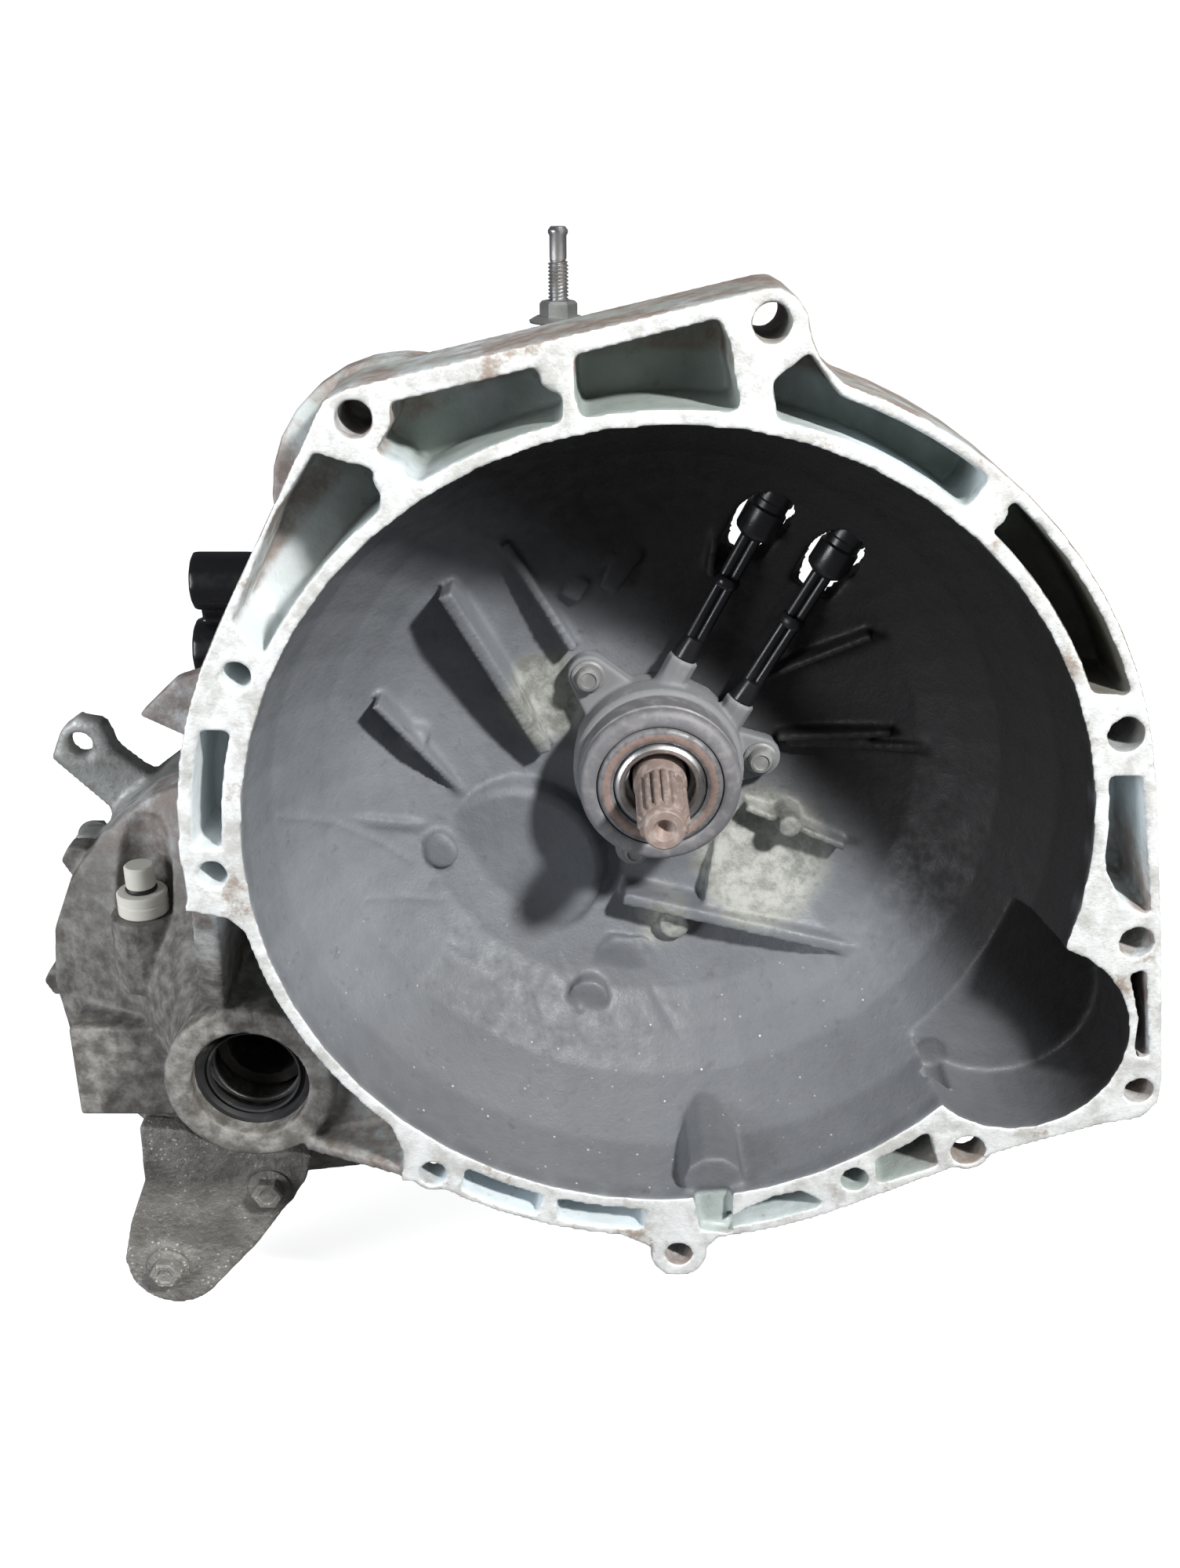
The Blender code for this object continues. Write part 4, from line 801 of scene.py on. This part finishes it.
def make_stud():
    x, y = STUD
    cage = bmesh.new()
    rod(cage, (x, y, 152), (x, y, 177), 3.3, 20)
    lathe(cage, [(0, 0), (6.0, 0), (6.5, 0.5), (6.5, 2.3), (6.0, 2.8), (0, 2.8)], 32, (x, y, 177), (0, 0, 1))
    threaded(cage, (x, y, 179.5), (0, 0, 1), 22.5, 3.7)
    tip = [(0.0, 0.0), (2.9, 0.0), (3.0, 1.0), (3.0, 8.0), (3.5, 8.8), (3.5, 9.8), (2.6, 11.0), (0.0, 11.0)]
    lathe(cage, tip, 24, (x, y, 201.5), (0, 0, 1))
    piece("threaded_stud", cage, "case", STEEL, replaced=("mount_stud",))
    cage = bmesh.new()
    flange = [(4.0, 0.0), (10.2, 0.0), (10.5, 0.8), (8.0, 2.2), (4.0, 2.2)]
    lathe(cage, flange, 36, (x, y, 180.3), (0, 0, 1))
    place = along((x, y, 182.2), (0, 0, 1))
    rows = ((0.0, 1.0), (4.6, 1.0), (5.6, 0.86))
    outer = [[place @ Vector((*point, level)) for point in circle(6.7 * share, 6)] for level, share in rows]
    loft(cage, outer)
    piece("flange_nut", cage, "case", BOLT_STEEL, replaced=("mount_stud_nut",))


def make_sensor():
    x, y = SENSOR
    cage = bmesh.new()
    body = [
        (0.0, -96.0), (7.0, -96.0), (7.0, -76.6), (10.4, -76.6), (11.0, -76.0), (11.0, -71.6), (10.5, -71.2),
        (10.5, -70.6), (11.0, -70.2), (11.0, -67.0), (10.3, -66.2), (6.0, -66.0), (0.0, -66.0),
    ]
    lathe(cage, body, 48, (x, y, 0), (0, 0, 1))
    cap = [(0.0, -64.0), (6.2, -64.0), (6.5, -63.4), (6.5, -54.6), (5.8, -53.8), (0.0, -53.6)]
    lathe(cage, cap, 40, (x, y, 0), (0, 0, 1))
    piece("speed_sensor_plug", cage, "case", CREAM_PLASTIC, replaced=("speed_sensor",))
    cage = bmesh.new()
    seal = [(0.0, -66.0), (6.6, -66.0), (6.9, -65.4), (6.9, -64.6), (6.5, -64.0), (0.0, -64.0)]
    lathe(cage, seal, 40, (x, y, 0), (0, 0, 1))
    piece("sensor_ring", cage, "case", RUBBER)


def make_selector():
    casting("selector_housing_casting", "selector_housing", "case", CASE, 1.0)
    casting("selector_lever_moulding", "selector_lever", "selector", BLACK_PLASTIC, 0.9,
            smooth=22)
    cage = bmesh.new()
    cap = [(0.0, 0.0), (8.0, 0.0), (8.5, 0.6), (8.5, 7.4), (7.8, 8.4), (6.2, 8.9), (6.0, 11.4), (0.0, 11.7)]
    lathe(cage, cap, 40, (-162, 165, 77.3), (0, 0, 1))
    piece("breather_cap_moulding", cage, "case", BLUE_PLASTIC, replaced=("breather_cap",))


def bracket_details(cage):
    for x, z in BRACKET_BOLTS:
        rod(cage, (x, 77.0, z), (x, 80.0, z), 12.5, 28)


def make_bracket():
    casting("support_bracket_forging", "support_bracket", "case", GRIME_AND_PAINTED_GLINTS, 1.1, bracket_details)
    for name, (x, z) in zip(("bracket_bolt_upper", "bracket_bolt_lower"), BRACKET_BOLTS):
        cage = bmesh.new()
        rod(cage, (x, 77.0, z), (x, 106.0, z), 4.0, 16)
        bolt_head(cage, (x, BRACKET_BOLT_SEAT, z), (0, -1, 0), 7.4, 5.8, 10.0)
        piece(name + "_worn", cage, "case", GRIME_AND_PAINTED_GLINTS, replaced=(name,))


def make_seals():
    for side, start, sense in SEALS:
        cage = bmesh.new()
        profile = [
            (24.2, 0.0), (24.2, 8.8), (21.6, 8.8), (19.6, 5.2), (18.7, 4.2), (18.5, 3.6), (18.7, 1.4),
            (19.6, 1.0), (20.4, 2.6), (21.2, 2.8), (22.0, 1.2), (22.6, 0.2),
        ]
        lathe(cage, profile, 64, (DIFF[0], start, DIFF[1]), (0, sense, 0))
        piece(f"driveshaft_seal_{side}_lip", cage, "case", RUBBER,
              replaced=(f"driveshaft_seal_{side}",))
        cage = bmesh.new()
        spring = [(18.0, 9.2), (18.4, 8.6), (19.6, 8.6), (20.2, 9.4), (20.2, 10.6), (18.0, 10.6)]
        lathe(cage, spring, 64, (DIFF[0], start, DIFF[1]), (0, sense, 0))
        piece(f"seal_sleeve_{side}", cage, "case", BRIGHT_STEEL)


# ---------------------------------------------------------------- stage, light and camera

def make_stage():
    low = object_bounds()[0]
    bottom = low[2] - 0.004
    cage = bmesh.new()
    # A round floor that curves up into a wall on every side
    profile = [(FLOOR_RADIUS, bottom)]
    for degrees in range(10, 100, 10):
        angle = math.radians(degrees)
        radius = FLOOR_RADIUS + FLOOR_CURVE * math.sin(angle)
        profile.append((radius, bottom + FLOOR_CURVE * (1 - math.cos(angle))))
    profile.append((FLOOR_RADIUS + FLOOR_CURVE, FLOOR_TOP))
    middle = cage.verts.new((0.0, 0.0, bottom))
    rings = []
    for radius, height in profile:
        rings.append([cage.verts.new((*point, height)) for point in circle(radius, FLOOR_STEPS)])
    for i in range(FLOOR_STEPS):
        j = (i + 1) % FLOOR_STEPS
        cage.faces.new((middle, rings[0][i], rings[0][j]))
        for inner, outer in zip(rings, rings[1:]):
            cage.faces.new((inner[i], outer[i], outer[j], inner[j]))
    floor = bpy.data.objects.new("pale_floor", mesh_from("pale_floor", cage))
    bpy.context.scene.collection.objects.link(floor)
    floor.data.shade_smooth()
    paint = Paint("pale_floor")
    paint.shader.inputs["Emission Color"].default_value = (1.0, 1.0, 1.0, 1.0)
    paint.shader.inputs["Emission Strength"].default_value = 0.85
    floor.data.materials.append(paint.done((0.8, 0.8, 0.8), 0.9, 0.0))
    floor.visible_diffuse = False
    floor.visible_glossy = False
    floor.visible_shadow = False


def area_light(name, place, aim, size, power, colour):
    data = bpy.data.lights.new(name, "AREA")
    data.size = size
    data.energy = power
    data.color = colour
    lamp = bpy.data.objects.new(name, data)
    lamp.location = place
    lamp.rotation_euler = (Vector(aim) - Vector(place)).to_track_quat("-Z", "Y").to_euler()
    bpy.context.scene.collection.objects.link(lamp)


def make_lights():
    world = bpy.data.worlds.new("studio")
    world.use_nodes = True
    world.node_tree.nodes["Background"].inputs["Color"].default_value = (0.95, 0.97, 1.0, 1.0)
    world.node_tree.nodes["Background"].inputs["Strength"].default_value = 0.14
    bpy.context.scene.world = world
    key = Vector(KEY_DIRECTION).normalized()
    area_light("key", key * KEY_DISTANCE, (0.0, 0.05, 0.0), 0.14, 46.0, (1.0, 0.99, 0.97))
    area_light("fill", (-1.3, -0.75, 0.25), (-0.15, 0.1, -0.08), 0.7, 16.0, (0.95, 0.97, 1.0))


def make_camera():
    data = bpy.data.cameras.new("camera")
    data.lens = 36.0
    data.sensor_width = 36.0
    camera = bpy.data.objects.new("camera", data)
    forward = Vector(CAMERA_FORWARD)
    up = Vector(CAMERA_UP)
    right = forward.cross(up)
    turn = Matrix((right, up, -forward)).transposed().to_4x4()
    camera.matrix_world = Matrix.Translation(CAMERA_PLACE) @ turn
    bpy.context.scene.collection.objects.link(camera)
    bpy.context.scene.camera = camera
    bpy.context.scene.view_settings.view_transform = "Standard"


# ---------------------------------------------------------------- carried-over CAD nodes

PLAIN_PAINTS = {
    "cast_aluminium": CASE, "machined_steel": STEEL, "dark_steel": DARK_IRON, "rusty_steel": RUST_RING,
    "grey_plastic": GREY_PLASTIC, "black_plastic": BLACK_PLASTIC, "blue_plastic": BLUE_PLASTIC,
    "cream_plastic": CREAM_PLASTIC, "seal_rubber": RUBBER,
}


def paint_cad_nodes():
    for sub in frame["record"]["subparts"]:
        node = NODES[sub["node"]]
        node.data.materials.clear()
        node.data.materials.append(PLAIN_PAINTS[sub["material_slot"]])


paint_cad_nodes()
make_camera()
make_lights()
make_stage()
make_bell()
make_case()
make_case_bolts()
make_input_shaft()
make_release_bearing()
make_slave_cylinder()
make_pipes()
make_stud()
make_sensor()
make_selector()
make_bracket()
make_seals()
